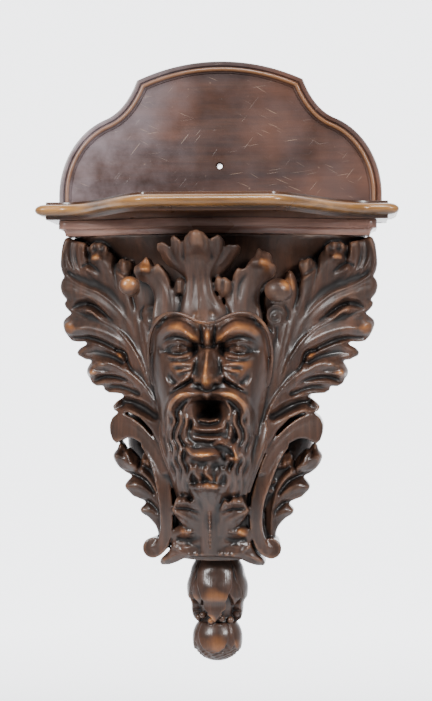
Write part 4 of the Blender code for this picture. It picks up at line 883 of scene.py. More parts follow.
# Where the forehead ends, by distance from the middle.
forehead = [(0, 246), (9, 248), (17, 252), (27, 256), (38, 256), (47, 252), (54, 245), (66, 232)]
headRows = [
    # y, half-width, how far the middle stands out
    (56, 30, 2), (66, 34, 12), (80, 38, 32), (95, 43, 42), (108, 46, 49), (120, 48, 53), (135, 50, 55),
    (150, 52, 57), (165, 55, 59), (180, 58, 59), (195, 61, 57),
    (205, 62, 56), (222, 63, 53), (235, 63, 54), (248, 62, 55), (264, 58, 50),
]
headStrokes = [
    # path, half-width, rise in mm
    # sockets, brows, frown
    ([(13, 221), (28, 223), (44, 220)], (8, 12, 8), (-12, -11, -5)),
    ([(13, 226), (13.5, 219), (15, 212)], 4.4, (-5, -6, -3)),
    ([(13, 232), (20, 237.5), (29, 241.5), (39, 241), (48, 236), (53, 229)], (6.5, 9.5, 11, 11, 9.5, 7),
     (10, 14, 13, 10, 7, 2)),
    ([(14, 233), (19, 236.5), (25, 241)], (4, 4.5, 4), (3, 4, 1)),
    ([(8, 226), (14, 227.5), (21, 231.5), (31, 233.5), (42, 230.5), (50, 224)], (2.4, 3, 3, 2.8, 2.4, 2),
     (-3, -6, -6, -5, -3, -1)),
    ([(0, 228), (0, 233.5), (0, 240)], (3.6, 5, 4), (5, 9, 4)),
    ([(5.8, 222), (6, 232), (7.5, 246)], (2.4, 2.8, 2.4), (-5, -7, -3)),
    ([(-9, 225.5), (0, 223), (9, 225.5)], 2.6, -7), ([(-3, 246), (0, 240), (3, 246)], 2, -2),
    # eyes under heavy lids, and the bags below
    ([(23, 222), (29, 222.8), (35, 221.6)], (6, 8, 6), (7, 12, 7)),
    ([(19, 222.8), (25, 225.2), (31, 225.2), (38, 222.6)], 1.2, -3),
    ([(15, 221), (20, 225.5), (28, 228.5), (38, 226.5), (46, 220)], (1.6, 2.4, 2.8, 2.4, 1.6), (2, 4, 4.6, 3.6, 1.4)),
    ([(16, 218.5), (22, 215.3), (30, 213.8), (38, 215), (45, 218.5)], (1.6, 2.3, 2.5, 2.2, 1.4),
     (1.5, 3.6, 4, 3.2, 1)),
    ([(18, 219.5), (23, 218.3), (31, 217.4), (42, 219)], 1.5, -3.2),
    ([(13, 217), (20, 211.5), (31, 209.5), (43, 213)], 2.4, -3.4),
    # nose
    ([(0, 226), (0, 218), (0, 210), (0, 202), (0, 196), (0, 191)], (4, 5.5, 7, 9, 11, 11), (1, 7, 14, 21, 27, 24)),
    ([(0, 217), (0, 208), (0, 200), (0, 194)], (2.6, 3, 3.8, 4.6), (2, 3, 3.5, 3)),
    ([(10.5, 191), (12, 191.5)], 5, (8, 6)), ([(14, 198), (16, 192), (12.5, 186)], 2, -4),
    ([(5, 186.5), (7, 185.6)], 2.6, -9),
    ([(10, 214), (12, 205), (13, 198)], (3, 4, 3), (-3, -5, -3)),
    # cheek folds that fan out from the nose
    ([(16, 206), (22, 206.5), (29, 207.5), (36, 206.5)], (3, 4.2, 4.6, 4), (3, 6, 6, 1)),
    ([(16, 202.5), (23, 200.5), (30, 199.5)], (2.6, 3.4, 3.2), (3, 5.5, 3)),
    ([(15, 199), (20, 196), (25, 194.5)], (2.2, 2.6, 2.4), (2, 4, 2)),
    ([(17, 204.2), (24, 203.2), (33, 202.5)], 1.3, -3.6), ([(16, 200.5), (22, 198), (28, 196.5)], 1.3, -3.2),
    ([(40, 200), (38, 194), (34, 189), (28, 187.5)], (4, 5, 5, 3), (-1, -4, -5, -3)),
    ([(13, 196), (21, 192.5), (29, 187.5), (36, 182)], (2.4, 2.8, 3, 2.4), (3, 4.5, 4.5, 2)),
    ([(13, 192), (21, 187.5), (30, 182.5), (37, 178)], (2.2, 3, 3.6, 3.4), (-4, -6, -5, -2)),
    # moustache: thin under the nose, then a wide fall of hair
    ([(0, 175.5), (8, 177), (18, 177.3), (27, 175), (34, 169), (38, 160), (39, 149)],
     (5, 6, 7.4, 8.6, 9.2, 8.4, 6.4), (7, 12, 15, 16, 15, 11, 5)),
    ([(0, 178.6), (9, 179.8), (20, 179.6), (29, 176.6), (36, 170), (40.5, 160)], (1.6, 1.8, 1.9, 2, 2, 1.8),
     (1, 2, 2.6, 2.6, 2.2, 1)),
    ([(2, 172), (10, 172.8), (17, 170.8), (22, 164.5), (24, 156)], (2, 2.2, 2.4, 2.6, 2.6), (2, 3.4, 4, 4, 2)),
    ([(5, 176.6), (16, 176.8), (25, 173.6), (31.5, 167), (35, 157), (35, 147)], 1.3, -3),
    ([(6, 174.2), (15, 174.2), (22.5, 170.5), (28, 164), (31, 154), (30.5, 145)], 1.3, -3),
    ([(30, 178.5), (39, 171), (44, 161), (46, 149), (44.5, 136)], (1.8, 2.2, 2.4, 2.4, 2), -3),
    # locks that run down from the moustache
    ([(35, 160), (33, 151), (37, 142), (37, 133), (33, 124), (35, 113), (31, 102), (32, 90), (30, 74)], 3.8, 6),
    ([(28, 161), (26, 151), (29.5, 142), (31, 134), (27, 125), (29, 114), (24.5, 103), (26, 90), (23, 74)], 3.8, 6),
    ([(41, 158), (40, 147), (43, 138), (42, 128), (39.5, 118), (41, 107), (37, 96), (37, 86)], 3.8, 5),
    ([(22, 158), (20.5, 150), (22.5, 142), (21, 134), (16, 127)], (3, 3.6, 3.6, 3, 2.4), 5),
    ([(47, 152), (47, 140), (48, 128), (46, 116), (46.5, 104), (43, 92)], 3.2, 4.5),
    ([(24.5, 160), (23.2, 150), (26, 142), (27, 134), (23, 125), (25, 114), (20.5, 103), (22, 90)], 1.8, -3.8),
    ([(31.5, 160), (29.6, 151), (33.2, 142), (34, 133.5), (30, 124.5), (32, 113.5), (28, 102.5), (29, 90)], 1.8,
     -3.8),
    ([(38, 159), (36.6, 149), (40, 140), (39.6, 130.5), (36.4, 121), (38, 110), (34, 99), (34.6, 88)], 1.8, -3.8),
    ([(44, 155), (43.5, 143), (45.6, 133), (44, 122), (43.2, 111), (41, 98)], 1.8, -3.6),
    ([(20, 114), (16.5, 104), (21, 94), (15, 80)], 4.2, 4.5), ([(12, 110), (13.5, 101), (8.5, 92), (11, 78)], 4, 4),
    ([(2, 110), (-2.5, 101), (3, 92), (-1, 82)], 4.2, 4),
    ([(15, 110), (14.6, 102), (14.6, 93), (13, 82)], 1.8, -2.2),
    ([(6.5, 108), (5, 99), (5.6, 91), (4, 82)], 1.8, -2.2),
    # lower lip and chin
    ([(-14.5, 145), (-8, 143.2), (0, 142.8), (8, 143.2), (15.5, 145)], (2, 3, 3.4, 3, 2), (2, 6, 7, 6, 2)),
    ([(-14, 138.6), (0, 137.6), (14, 138.6)], 2.2, -4.5), ([(-13, 135), (0, 134), (13, 135)], (2, 2.6, 2), (1, 3, 1)),
    ([(-14, 130.5), (0, 129.5), (12, 131)], 2.6, -3.5),
]
beardStrokes = [
    # the curls under the lip differ from side to side
    ([(-20, 124), (-14, 119.5), (-6, 118.6), (3, 119), (10, 119)], (5, 6.8, 7.4, 6.8, 5), (9, 16, 19, 17, 9)),
    ([(-18, 110), (-4, 108), (10, 107.5), (24, 107)], (5, 7, 7, 5), (-2, -4, -4, -2)),
    ([(6, 129.5), (14, 130.5), (22, 127), (28, 121), (29, 116.5), (25, 114.5), (21, 116)],
     (2.6, 3.6, 5, 6.4, 6.6, 5.4, 4), (4, 9, 12, 15, 17, 14, 8)),
    ([(-2, 131), (8, 133.5), (18, 133), (27, 128), (33, 120), (35, 112)], (2, 2.4, 2.6, 2.6, 2.6, 2.2),
     (1, 3.6, 4.4, 4.4, 4, 1)),
    ([(-10, 122), (-8, 118), (-9, 114)], 1.1, -1.6), ([(-3, 122), (-2, 118), (-3, 114)], 1.1, -1.6),
    ([(4, 122), (4.6, 118), (4, 114)], 1.1, -1.6),
    ([(12, 127.5), (19, 126), (24, 121)], 1.2, -2.6), ([(10, 122.5), (14, 117.5), (17, 113)], 2.2, -5),
    ([(3, 131), (14, 133.6), (24, 131)], 1.2, -1.8),
    ([(-14, 128.5), (-22, 131), (-26, 138), (-24, 146)], (2, 3, 3, 2), (2, 4.4, 4.4, 1)),
    ([(-24, 124), (-27, 117), (-23, 109)], (3, 3.4, 2.6), (2, 5, 2)),
]
mouthStrokes = [
    ([(2, 164.5), (2, 160), (1.5, 155)], (20, 19, 13), (-32, -38, -26)), ([(-16.5, 152), (-17, 143)], 3.6, -6),
    ([(20, 152), (20, 143)], 3.6, -6),
    ([(-7, 152.5), (1, 151), (9, 152.5)], (2.4, 3.4, 2.4), (12, 18, 12)),
]

rimStrands = [
    ([(0, 246.5, 158), (9, 248, 158), (17, 252, 156), (27, 256, 153), (38, 256.5, 148), (47, 253, 141),
     (54, 246, 134), (59, 235, 126), (61.5, 218, 118), (60.5, 200, 114), (58, 182, 112)],
     (2, 2, 2, 2, 2, 2, 2.1, 2, 1.9, 1.7, 1.4), "round"),
]
stem = [
    ([(31, 76, 112), (35, 92, 116), (41, 110, 118), (47, 128, 116), (52, 150, 110)], (3, 4, 5, 5.5, 5), "crown"),
    ([(34, 78, 108), (39, 95, 112), (45, 113, 113), (52, 132, 109)], (3, 4, 5, 5), "crown"),
]

# Height, half-width and depth of the block behind the mask, of the one behind the leaves, and of the web
# between the bands.
console = [(7, 48, 86), (60, 50, 92), (100, 56, 98), (150, 64, 102), (200, 72, 104), (250, 78, 90), (285, 96, 78),
    (310, 118, 77), (328, 142, 84), (342, 158, 93)]
backing = [(9, 50, 50), (30, 56, 50), (50, 64, 50), (66, 72, 46), (85, 80, 44), (100, 90, 44), (115, 97, 48),
    (135, 98, 50), (156, 92, 56), (200, 104, 58), (250, 122, 50), (290, 134, 46), (320, 144, 50), (341, 154, 58)]
web = [(8, 43, 80), (20, 43, 84), (34, 43, 90), (48, 43, 97), (60, 43, 99), (100, 46, 100), (140, 52, 98),
    (190, 56, 98)]
carvingBlocks = [(console, 0.8), (backing, 0.8), (web, 0.12)]      # and how round each face is


def mirrored(forms, shift=0.0):
    # both sides; a form that already crosses the middle stands once
    made = []
    for first, *rest in forms:
        points = first if isinstance(first, list) else [first]
        for side in (1, -1):
            middling = max(abs(p[0]) for p in points) < 0.6
            if side < 0 and (middling or isinstance(first, list) and min(p[0] for p in points) < -0.6):
                continue
            moved = [(side * p[0] + shift, *p[1:]) for p in points]
            made.append((moved if isinstance(first, list) else moved[0], *rest))
    return made


def sectionPoints(kind):
    # the section of a strip, in shares of its half-width
    if kind == "round":
        return [(math.cos(math.pi / 8 * i), math.sin(math.pi / 8 * i)) for i in range(16)]
    if kind == "band":
        face = [(-1, -0.25), (-0.97, 0.02), (-0.86, 0.10), (-0.74, 0.02), (-0.6, -0.02), (0, 0)]
        return face + [(-x, y) for x, y in reversed(face[:-1])] + [(1, -9.5), (-1, -9.5)]
    across = [-1 + i / 6 for i in range(13)]
    return [(x, 0.32 * (1 - x * x)) for x in across] + [(0.9, -0.35), (0.6, -0.64), (0, -0.8), (-0.6, -0.64),
        (-0.9, -0.35)]


def widthsAlong(widths, steps, kind):
    places = np.linspace(0, len(widths) - 1, steps)
    made = np.interp(places, range(len(widths)), widths)
    if kind != "band":
        share = np.linspace(0, 1, steps)
        made *= np.sqrt(np.clip(1 - np.clip((share - 0.86) / 0.14, 0, 1) ** 2, 0.02, 1))
    return made


def sweepStrips(strips, steps):
    # every strip is a spline of a curve, bevelled with its section, and turned into a mesh
    pieces = []
    for kind in sorted({s[2] for s in strips}):
        points = sectionPoints(kind)
        deselectAll()
        bpy.ops.curve.primitive_nurbs_path_add()
        outline = bpy.context.object
        outline.data.splines.clear()
        outline.data.dimensions = "2D"
        ring = outline.data.splines.new("POLY")
        ring.points.add(len(points) - 1)
        for point, (x, y) in zip(ring.points, points):
            point.co = (x, y, 0, 1)
        ring.use_cyclic_u = True
        deselectAll()
        bpy.ops.curve.primitive_nurbs_path_add()
        strands = bpy.context.object
        curve = strands.data
        curve.splines.clear()
        curve.dimensions, curve.twist_mode, curve.use_path = "3D", "Z_UP", False
        curve.bevel_mode, curve.bevel_object, curve.use_fill_caps = "OBJECT", outline, True
        for path, widths, mine in strips:
            if mine != kind:
                continue
            spline = curve.splines.new("POLY")
            spline.points.add(steps - 1)
            for point, place, width in zip(spline.points, through(path, steps), widthsAlong(widths, steps, kind)):
                point.co = (*place, 1)
                point.radius = width
        makeActive(strands)
        bpy.ops.object.convert(target="MESH")
        bpy.data.objects.remove(outline)
        pieces.append(bpy.context.object)
    return pieces


def meshObject(name, bm):
    mesh = bpy.data.meshes.new(name)
    bm.to_mesh(mesh)
    bm.free()
    obj = bpy.data.objects.new(name, mesh)
    bpy.context.scene.collection.objects.link(obj)
    return obj


def skinRings(bm, rings):
    # joins each ring to the next and closes both ends
    for low, high in zip(rings, rings[1:]):
        for i in range(len(low)):
            j = (i + 1) % len(low)
            bm.faces.new((low[i], low[j], high[j], high[i]))
    bm.faces.new(rings[0][::-1])
    bm.faces.new(rings[-1])


def lumpMesh(lumps, blocks=(), discs=()):
    bm = bmesh.new()
    for centre, radii in lumps:
        place = Matrix.Translation(centre) @ Matrix.Diagonal((*radii, 1))
        bmesh.ops.create_uvsphere(bm, u_segments=24, v_segments=12, radius=1, matrix=place)
    for (x, y), radius, depth in discs:
        place = Matrix.Translation((x, y, depth / 2))
        bmesh.ops.create_cone(bm, cap_ends=True, segments=48, radius1=radius - 5, radius2=radius, depth=depth,
            matrix=place)
    for sections, roundness in blocks:
        rings = []
        for half, depth, y in through([(s[1], s[2], s[0]) for s in sections], 40):
            angles = [math.pi * i / 32 for i in range(33)]
            ring = [
                bm.verts.new((half * math.cos(a), y, depth * max(0.0, math.sin(a)) ** roundness))
                for a in angles[:-1]
            ]
            ring += [bm.verts.new((-half, y, 0)), bm.verts.new((-half, y, -6)), bm.verts.new((half, y, -6))]
            rings.append(ring)
        skinRings(bm, rings)
    return meshObject("lumps", bm)


def fromOutline(outline, x, y):
    # which points lie within the outline, how far every point is from it, and its nearest place
    within = np.zeros(len(x), bool)
    away, nearest = np.full(len(x), 1e9), np.zeros((len(x), 2))
    for (x0, y0), (x1, y1) in zip(outline, outline[1:] + outline[:1]):
        if y0 != y1:
            within ^= ((y0 > y) != (y1 > y)) & (x < (x1 - x0) * (y - y0) / (y1 - y0) + x0)
        dx, dy = x1 - x0, y1 - y0
        share = np.clip(((x - x0) * dx + (y - y0) * dy) / (dx * dx + dy * dy), 0, 1)
        foot = np.stack((x0 + share * dx, y0 + share * dy), 1)
        apart = np.hypot(x - foot[:, 0], y - foot[:, 1])
        closer = apart < away
        away[closer], nearest[closer] = apart[closer], foot[closer]
    return within, away, nearest


def gridOver(low, high):
    # a flat grid on the pattern, with a point every millimetre
    across, up = high[0] - low[0], high[1] - low[1]
    deselectAll()
    bpy.ops.mesh.primitive_grid_add(x_subdivisions=int(across), y_subdivisions=int(up), size=1)
    grid = bpy.context.object
    places = readPoints(grid)
    places[:, 0] = (places[:, 0] + 0.5) * (high[0] - low[0]) + low[0]
    places[:, 1] = (places[:, 1] + 0.5) * (high[1] - low[1]) + low[1]
    return grid, places


def solidFrom(grid, places, kept, thickness):
    # drops the part of the grid that isn't kept, and gives the rest its thickness
    writePoints(grid, places)
    makeActive(grid)
    bpy.ops.object.mode_set(mode="EDIT")
    bm = bmesh.from_edit_mesh(grid.data)
    bmesh.ops.delete(bm, geom=[v for v, keep in zip(bm.verts, kept) if not keep], context="VERTS")
    bmesh.update_edit_mesh(grid.data)
    bpy.ops.mesh.select_all(action="SELECT")
    bpy.ops.mesh.extrude_region_move(TRANSFORM_OT_translate={"value": (0, 0, -thickness)})
    bpy.ops.mesh.select_all(action="SELECT")
    bpy.ops.mesh.normals_make_consistent(inside=False)
    bpy.ops.object.mode_set(mode="OBJECT")
    return grid


def makeRelief(s, side):
    outline = np.array(s["outline"], float)
    grid, places = gridOver(outline.min(0) - 2, outline.max(0) + 2)
    within, away, nearest = fromOutline(s["outline"], places[:, 0], places[:, 1])
    rim = ~within & (away < 1.0)
    places[rim, :2], away[rim] = nearest[rim], 0
    x, y = places[:, 0], places[:, 1]
    rows = np.array([p[:2] for p in through([(*row, 0) for row in s["rows"]], 80)])
    aside = x - s["middle"]
    z = np.interp(y, rows[:, 0], rows[:, 1]) - s["slope"] * np.abs(aside) - s["bow"] * aside ** 2
    edge = np.clip(1 - away / s["edge"], 0, 1)
    places[:, 2] = z - s["edge"] * (1 - np.sqrt(1 - edge ** 2))
    places = gouge(places, np.ones(len(places)), s["strokes"], -100)
    places[:, 0] = side * places[:, 0] + s["shift"]
    return solidFrom(grid, places, within | rim, s["thickness"])


def joinAll(objects):
    deselectAll()
    for obj in objects:
        obj.select_set(True)
    bpy.context.view_layer.objects.active = objects[0]
    bpy.ops.object.join()
    return bpy.context.object


def melt(obj, grain, easing):
    applyModifier(obj, "REMESH", "melt", mode="VOXEL", voxel_size=grain)
    if easing:
        applyModifier(obj, "SMOOTH", "ease", factor=0.5, iterations=easing)


def thin(obj, triangles):
    applyModifier(obj, "DECIMATE", "thin", ratio=min(1, triangles / (2 * len(obj.data.polygons))))


def readPoints(obj):
    places = np.empty(len(obj.data.vertices) * 3)
    obj.data.vertices.foreach_get("co", places)
    return places.reshape(-1, 3)


def readNormals(obj):
    normals = np.empty(len(obj.data.vertices) * 3, dtype=np.float32)
    obj.data.vertex_normals.foreach_get("vector", normals)
    return normals.reshape(-1, 3)


def writePoints(obj, places):
    obj.data.vertices.foreach_set("co", places.ravel())
    obj.data.update()


def gouge(places, facing, strokes, lowest=40):
    # pushes the surface out or in along each stroke; a tuple gives the half-width or the rise along it
    for path, half, rise in strokes:
        count = 12 * len(path)
        line = np.array([p[:2] for p in through([(*p[:2], 0) for p in path], count)])
        share = np.linspace(0, 1, count)
        if isinstance(half, tuple):
            halves = np.interp(share, np.linspace(0, 1, len(half)), half)
        else:
            halves = np.full(count, float(half))
        if isinstance(rise, tuple):
            rises = np.interp(share, np.linspace(0, 1, len(rise)), rise)
        else:
            rises = rise * (0.35 + 0.65 * np.sin(np.pi * share) ** 0.5)
        low, high = line.min(0) - halves.max(), line.max(0) + halves.max()
        near = np.nonzero((places[:, :2] > low).all(1) & (places[:, :2] < high).all(1) & (places[:, 2] > lowest))[0]
        apart = np.sqrt(((places[near, None, :2] - line[None]) ** 2).sum(2)) / halves
        nearest = apart.argmin(1)
        fall = np.cos(np.pi / 2 * np.clip(apart[np.arange(len(near)), nearest], 0, 1)) ** 2
        places[near, 2] += rises[nearest] * fall * facing[near]
    return places


def frontFacing(obj):
    return np.clip((readNormals(obj)[:, 2] - 0.05) / 0.35, 0, 1)


def blurred(places, links, times):
    # each point moves to the middle of its neighbours, many times
    first, second = links[:, 0], links[:, 1]
    count = len(places)
    around = np.bincount(first, minlength=count) + np.bincount(second, minlength=count)
    for _ in range(times):
        total = np.empty_like(places)
        for axis in range(3):
            ahead = np.bincount(first, places[second, axis], count)
            total[:, axis] = ahead + np.bincount(second, places[first, axis], count)
        places = 0.5 * places + 0.5 * total / around[:, None]
    return places


def paintWearAndShade(obj, fine, broad, rubs):
    # three shares a point: arris (stain worn thin, partly a painted highlight), hollow (painted shade, partly dirt),
    # and how far the stain is rubbed away
    places, normals = readPoints(obj), readNormals(obj)
    links = np.empty(len(obj.data.edges) * 2, dtype=np.int32)
    obj.data.edges.foreach_get("vertices", links)
    links = links.reshape(-1, 2)
    near = blurred(places, links, fine)
    far = blurred(near, links, broad)
    # how sharp an arris is: worn lighter, and partly painted as a highlight
    proud = np.clip(((places - near) * normals).sum(1) / 0.5, 0, 1) * 0.5
    raised = np.clip(((near - far) * normals).sum(1) / 1.6, 0, 1)
    proud += raised * 0.5
    # how deep a hollow is: the material paints it as shade, partly dirt
    hollow_dirt_and_shade = np.clip(-((places - far) * normals).sum(1) / 2.0, 0, 1)
    rubbed = np.zeros(len(places))
    for (x, y), radius, share in rubs:
        away = np.hypot(places[:, 0] - x, places[:, 1] - y)
        spot = share * np.clip(1.25 * (1 - away / radius), 0, 1)
        rubbed += spot * np.clip(normals[:, 2] + 0.2, 0, 1) * np.clip(1.2 - 2 * hollow_dirt_and_shade, 0, 1)
    rubbed = np.clip(rubbed * (0.4 + 1.2 * raised), 0, 1)
    for name, values in (("arris", proud), ("hollow_dirt_and_shade", hollow_dirt_and_shade), ("rubbed", rubbed)):
        layer = obj.data.attributes.new(name, "FLOAT", "POINT")
        layer.data.foreach_set("value", values.astype(np.float32))


def makeHead():
    # the mask and its beard: a fine grid raised into relief
    s = headSize
    rows = np.array(headRows, float)
    grid, places = gridOver(s["low"], s["high"])
    widths = np.interp(places[:, 1], rows[:, 0], rows[:, 1])
    depths = np.interp(places[:, 1], rows[:, 0], rows[:, 2])
    places[:, 2] = s["base"] + depths * np.clip(1 - np.abs(places[:, 0] / widths) ** s["square"], 0, 1) ** s["round"]
    every = np.full(len(places), s["relief"])
    places = gouge(places, every, mirrored(headStrokes), 0)
    places = gouge(places, every, beardStrokes, 0)
    # the forehead ends at the rim
    line = np.array(forehead)
    kept = np.abs(places[:, 0]) < widths
    kept &= places[:, 1] < np.interp(np.abs(places[:, 0]), line[:, 0], line[:, 1])
    places[:, 0] += maskShift
    return solidFrom(grid, places, kept, s["thickness"])


def makeCorbel(material):
    s = carvingSize
    bands = []
    for path, widths, kind in mirrored([(bandPath, bandWidths, "band")]):
        bands.append(([(x + footShift * softStep((112 - y) / 60), y, z) for x, y, z in path], widths, kind))
    strips = mirrored(stem) + mirrored(rimStrands, maskShift) + bands
    discs = [
        ((side * x + footShift * softStep((112 - y) / 60), y), radius, depth)
        for (x, y), radius, depth in bandDiscs for side in (1, -1)
    ]
    pieces = [lumpMesh(volutes + footBeads, carvingBlocks, discs), makeHead()]
    for leaf in leaves:
        pieces += [makeRelief(leaf, side) for side in leaf["sides"]]
    corbel = joinAll(pieces + sweepStrips(strips, s["stripSteps"]))
    report("carving laid out")
    melt(corbel, s["grain"], 2)
    report("carving melted")
    mouth = [([(x + maskShift, y) for x, y in path], half, rise) for path, half, rise in mouthStrokes]
    places = gouge(readPoints(corbel), frontFacing(corbel), mouth)
    writePoints(corbel, places)
    melt(corbel, s["grain"], 1)
    report("carving cut")
    cutOff(corbel, (0, 0, 0), (0, 0, -1))
    cutOff(corbel, (0, s["height"], 0), (0, 1, 0))
    paintWearAndShade(corbel, s["fine"], s["broad"], rubbedSpots)
    thin(corbel, s["trianglesKept"])
    toMetres = Matrix.Rotation(math.pi / 2, 4, "X") @ Matrix.Scale(0.001, 4)
    corbel.data.transform(Matrix.Translation((0, 0, s["foot"])) @ toMetres)
    makeActive(corbel)
    bpy.ops.object.shade_smooth()
    finishPiece(corbel, "carvedCorbel", "carved_corbel", material)
    report("carved corbel, " + str(len(corbel.data.polygons)) + " faces")


# Where hands and dusters have rubbed the stain away: place, reach in mm, share.
rubbedSpots = [
    ((-2.5, 193), 10, 1.0), ((-2.5, 205), 7, 0.6), ((-2.5, 234), 6, 0.5), ((13, 234), 10, 0.7),
    ((26, 241), 14, 0.6), ((44, 242), 12, 0.5),
    ((-19, 234), 10, 0.7), ((-31, 242), 14, 0.6), ((-34, 203), 10, 0.6), ((27, 202), 12, 0.6), ((36, 208), 8, 0.5),
    ((-6, 120), 12, 0.9), ((26, 116), 9, 0.9), ((-8, 250), 17, 0.4), ((75, 286), 9, 0.9), ((-80, 286), 9, 0.9),
    ((54, 304), 9, 0.9), ((-65, 304), 9, 0.7),
    ((124, 316), 6, 0.9), ((-124, 316), 6, 0.9), ((127, 196), 6, 0.8), ((-127, 196), 6, 0.6), ((98, 215), 5, 0.8),
    ((-98, 215), 5, 0.8),
    ((152, 243), 8, 0.5), ((-152, 243), 8, 0.5), ((28, 36), 8, 0.7), ((-28, 36), 8, 0.7), ((0, 89), 12, 0.5),
    ((22, 177), 12, 0.7), ((-27, 177), 12, 0.7), ((36, 168), 9, 0.6), ((-41, 168), 9, 0.6),
]


# Rubbed places on the drop: across and height below its top (negative), reach, share.
pendantRubs = [((-4, -36), 13, 0.55), ((6, -38), 9, 0.5), ((-22, -40), 8, 0.4), ((-5, -61), 6, 0.7),
    ((0, -86), 14, 0.62), ((-14, -86), 9, 0.4), ((22, -88), 8, 0.5)]

pendantSize = {
    "top": -0.3654, "wall": 0.045, "around": 240, "rows": 190, "berries": 12, "berry": 3.6, "berryRing": 19.8,
    "berryHeight": 61, "berrySway": 3,
    "grain": 0.6, "fine": 10, "broad": 160, "trianglesKept": 90000,
}
# The drop's core and its shells of petals: height below the top and radius, in mm.
pendantCore = [(0, 20.4), (5, 21.0), (12, 23.0), (24, 24.6), (38, 24.0), (46, 21.0), (54, 17.5), (60, 16.4),
    (66, 17.4), (70, 19.6), (76, 22.0), (84, 22.8), (92, 22.4), (98, 19.6), (103, 14.2), (106, 7.5), (107, 1.0)]
pendantShell = [(0, 21.6), (4, 23.6), (12, 27.8), (24, 30.6), (33, 31.0), (40, 30.6), (44, 28.2), (48, 27.0),
    (53, 26.8), (58, 26.0), (63, 24.4), (67, 22.6)]
ballShell = [(66, 19.6), (70, 22.4), (77, 25.2), (85, 25.8), (92, 24.8), (97, 21.8), (101, 18.0)]
# Petals: first and step of their angles in degrees, shell, how far under it, then (height, half-width in degrees).
petals = [
    (48, 90, pendantShell, 1.8, [(0, 30), (20, 30), (32, 25), (40, 15), (47, 3), (49, 0)]),
    (-3, 90, pendantShell, 0.0,
     [(0, 44), (14, 43), (26, 38), (35, 31), (40, 28), (43, 26), (47, 29), (51, 27), (54, 18), (56, 20), (59, 13),
      (63, 6), (66, 0)]),
    (-8, 90, ballShell, 0.0, [(66, 44), (76, 43), (84, 38), (91, 30), (95, 16), (98, 0)]),
    (40, 90, ballShell, 1.0, [(66, 30), (80, 24), (88, 12), (94, 0)]),
]


def byHeight(table, heights):
    table = np.array(table, float)
    smooth = np.array([p[:2] for p in through([(*row, 0) for row in table], 120)])
    return np.interp(heights, smooth[:, 0], smooth[:, 1])


def dropRadii(heights, angles):
    # the radius at every height and angle: a core with petals laid over it
    radii = np.repeat(byHeight(pendantCore, heights)[:, None], len(angles), 1)
    degrees = np.degrees(angles)
    for first, step, shell, under, outline in petals:
        away = np.abs((degrees - first + step / 2) % step - step / 2)
        outline = np.array(outline, float)
        half = np.interp(heights, outline[:, 0], outline[:, 1], left=0, right=0)[:, None]
        surface = byHeight(shell, heights)[:, None] - under
        # the petal swells in the middle and its edge is drawn a little outwards
        swell = 0.8 * np.exp(-((heights - 31) / 8) ** 2)[:, None] - 1.2 * np.exp(-((heights - 17) / 6) ** 2)[:, None]
        surface = surface + swell * np.exp(-(away[None] / 17) ** 2)
        surface = surface + 0.10 * np.cos(np.radians(away * 80 + heights[:, None] * 3))
        share = np.clip((half - away[None]) * surface * math.pi / 180 / 1.3, 0, 1)
        share = np.where(half > 0, share, 0)
        share = share * share * (3 - 2 * share)
        radii = np.where(surface > radii, radii + (surface - radii) * share, radii)
    # scales under the ball
    rows, columns = np.meshgrid(heights, degrees, indexing="ij")
    scales = np.sin(rows * 1.15) * np.sin(np.radians(columns * 12) + rows * 0.6)
    return radii + 1.3 * scales * np.clip((rows - 91) / 5, 0, 1) * np.clip((106 - rows) / 4, 0, 1)


def makePendant(material):
    s = pendantSize
    heights = np.linspace(-1.5, 107, s["rows"])
    angles = np.linspace(0, 2 * math.pi, s["around"], endpoint=False)
    radii = dropRadii(np.clip(heights, 0, 107), angles)
    bm = bmesh.new()
    rings = [
        [bm.verts.new((r * math.sin(a), -r * math.cos(a), -h)) for r, a in zip(row, angles)]
        for row, h in zip(radii, heights)
    ]
    skinRings(bm, rings)
    for i in range(s["berries"]):
        angle = 2 * math.pi * (i + 0.5) / s["berries"]
        height = s["berryHeight"] + s["berrySway"] * math.sin(i * 2.4)
        centre = (s["berryRing"] * math.sin(angle), -s["berryRing"] * math.cos(angle), -height)
        bmesh.ops.create_uvsphere(bm, u_segments=20, v_segments=12, radius=s["berry"],
            matrix=Matrix.Translation(centre))
    bmesh.ops.recalc_face_normals(bm, faces=bm.faces)
    pendant = meshObject("pendant", bm)
    melt(pendant, s["grain"], 1)
    cutOff(pendant, (0, 0, 0), (0, 0, 1))
    # the same shares as the carving's, read on the pattern that faces the viewer
    standing = Matrix.Rotation(-math.pi / 2, 4, "X")
    pendant.data.transform(standing)
    paintWearAndShade(pendant, s["fine"], s["broad"], pendantRubs)
    pendant.data.transform(standing.inverted())
    thin(pendant, s["trianglesKept"])
    pendant.data.transform(Matrix.Translation((0, -s["wall"], s["top"])) @ Matrix.Scale(0.001, 4))
    makeActive(pendant)
    bpy.ops.object.shade_smooth()
    finishPiece(pendant, "pendantDrop", "pendant_drop", material)
    report("pendant, " + str(len(pendant.data.polygons)) + " faces")


def addSoftbox(name, place, target, size, watts):
    deselectAll()
    bpy.ops.object.light_add(type="AREA", location=place)
    lamp = bpy.context.object
    lamp.name = name
    lamp.data.shape = "RECTANGLE"
    lamp.data.size, lamp.data.size_y = size
    lamp.data.energy = watts
    lamp.rotation_mode = "QUATERNION"
    lamp.rotation_quaternion = (Vector(target) - Vector(place)).to_track_quat("-Z", "Y")


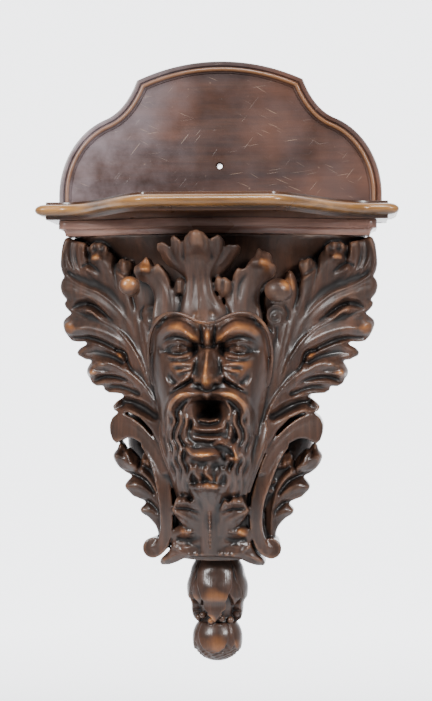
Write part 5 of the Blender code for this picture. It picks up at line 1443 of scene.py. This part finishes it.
stageSize = {
    "wide": 50, "drop": 1.5, "near": -14, "behind": 5, "curve": 5, "steps": 24, "top": (10, 14), "world": 0.22,
}
softboxes = [
    # name, place, what it faces, size, watts
    ("windowLeft", (-1.5, -1.9, 0.9), (0, 0, -0.12), (0.7, 0.9), 66),
    ("windowRight", (1.6, -1.7, 0.8), (0, 0, -0.12), (0.55, 0.8), 50),
    ("overhead", (0.1, -0.9, 1.8), (0, 0, -0.1), (1.0, 0.5), 50),
]


def makeStage():
    # a cove: floor far below the hung bracket, turned up far behind it in a wide curve
    s = stageSize
    behind, curve, steps = s["behind"], s["curve"], s["steps"]
    profile = [(y, 0) for y in range(s["near"], behind)]
    angles = [math.pi / 2 * i / steps for i in range(1, steps + 1)]
    profile += [(behind + curve * math.sin(a), curve - curve * math.cos(a)) for a in angles] + [s["top"]]
    deselectAll()
    bpy.ops.mesh.primitive_grid_add(x_subdivisions=1, y_subdivisions=len(profile) - 1, size=1)
    cove = bpy.context.object
    cove.name = "studioCove"
    rows = sorted({round(v.co.y, 5) for v in cove.data.vertices})
    for vertex in cove.data.vertices:
        y, z = profile[rows.index(round(vertex.co.y, 5))]
        vertex.co = (vertex.co.x * s["wide"], y, z - s["drop"])
    makeActive(cove)
    bpy.ops.object.shade_smooth()
    cove.data.materials.append(makeGlowingCove())
    world = bpy.data.worlds.new("studio")
    bpy.context.scene.world = world
    world.use_nodes = True
    background = next(node for node in world.node_tree.nodes if node.type == "BACKGROUND")
    background.inputs["Color"].default_value = toLinear("#f2f4f7")
    background.inputs["Strength"].default_value = s["world"]
    for softbox in softboxes:
        addSoftbox(*softbox)
    report("stage")


# The lens gives the photograph's scale: its rows, and the metres a pixel spans at the target.
cameraSize = {
    "target": (-0.0048, 0, -0.152), "turn": 4, "distance": 1.9, "sensor": 24, "rows": 701, "pixel": 0.00106,
}


def makeCamera():
    s = cameraSize
    target = Vector(s["target"])
    turn = math.radians(s["turn"])
    data = bpy.data.cameras.new("camera")
    camera = bpy.data.objects.new("camera", data)
    bpy.context.scene.collection.objects.link(camera)
    camera.location = target + s["distance"] * Vector((math.sin(turn), -math.cos(turn), 0))
    camera.rotation_euler = (math.pi / 2, 0, turn)
    data.sensor_fit, data.sensor_height = "VERTICAL", s["sensor"]
    data.lens = s["sensor"] * s["distance"] / (s["rows"] * s["pixel"])
    data.clip_start, data.clip_end = 0.05, 60
    bpy.context.scene.camera = camera


def main():
    edgeWood = makeEdgeWood()
    makeShelf(edgeWood)
    makeBedBoard(makeLightenedBedWood())
    makeBackboard(makeBoardWood())
    carved = makeCarvedWood()
    makeCorbel(carved)
    makePendant(carved)
    makeStage()
    makeCamera()


main()
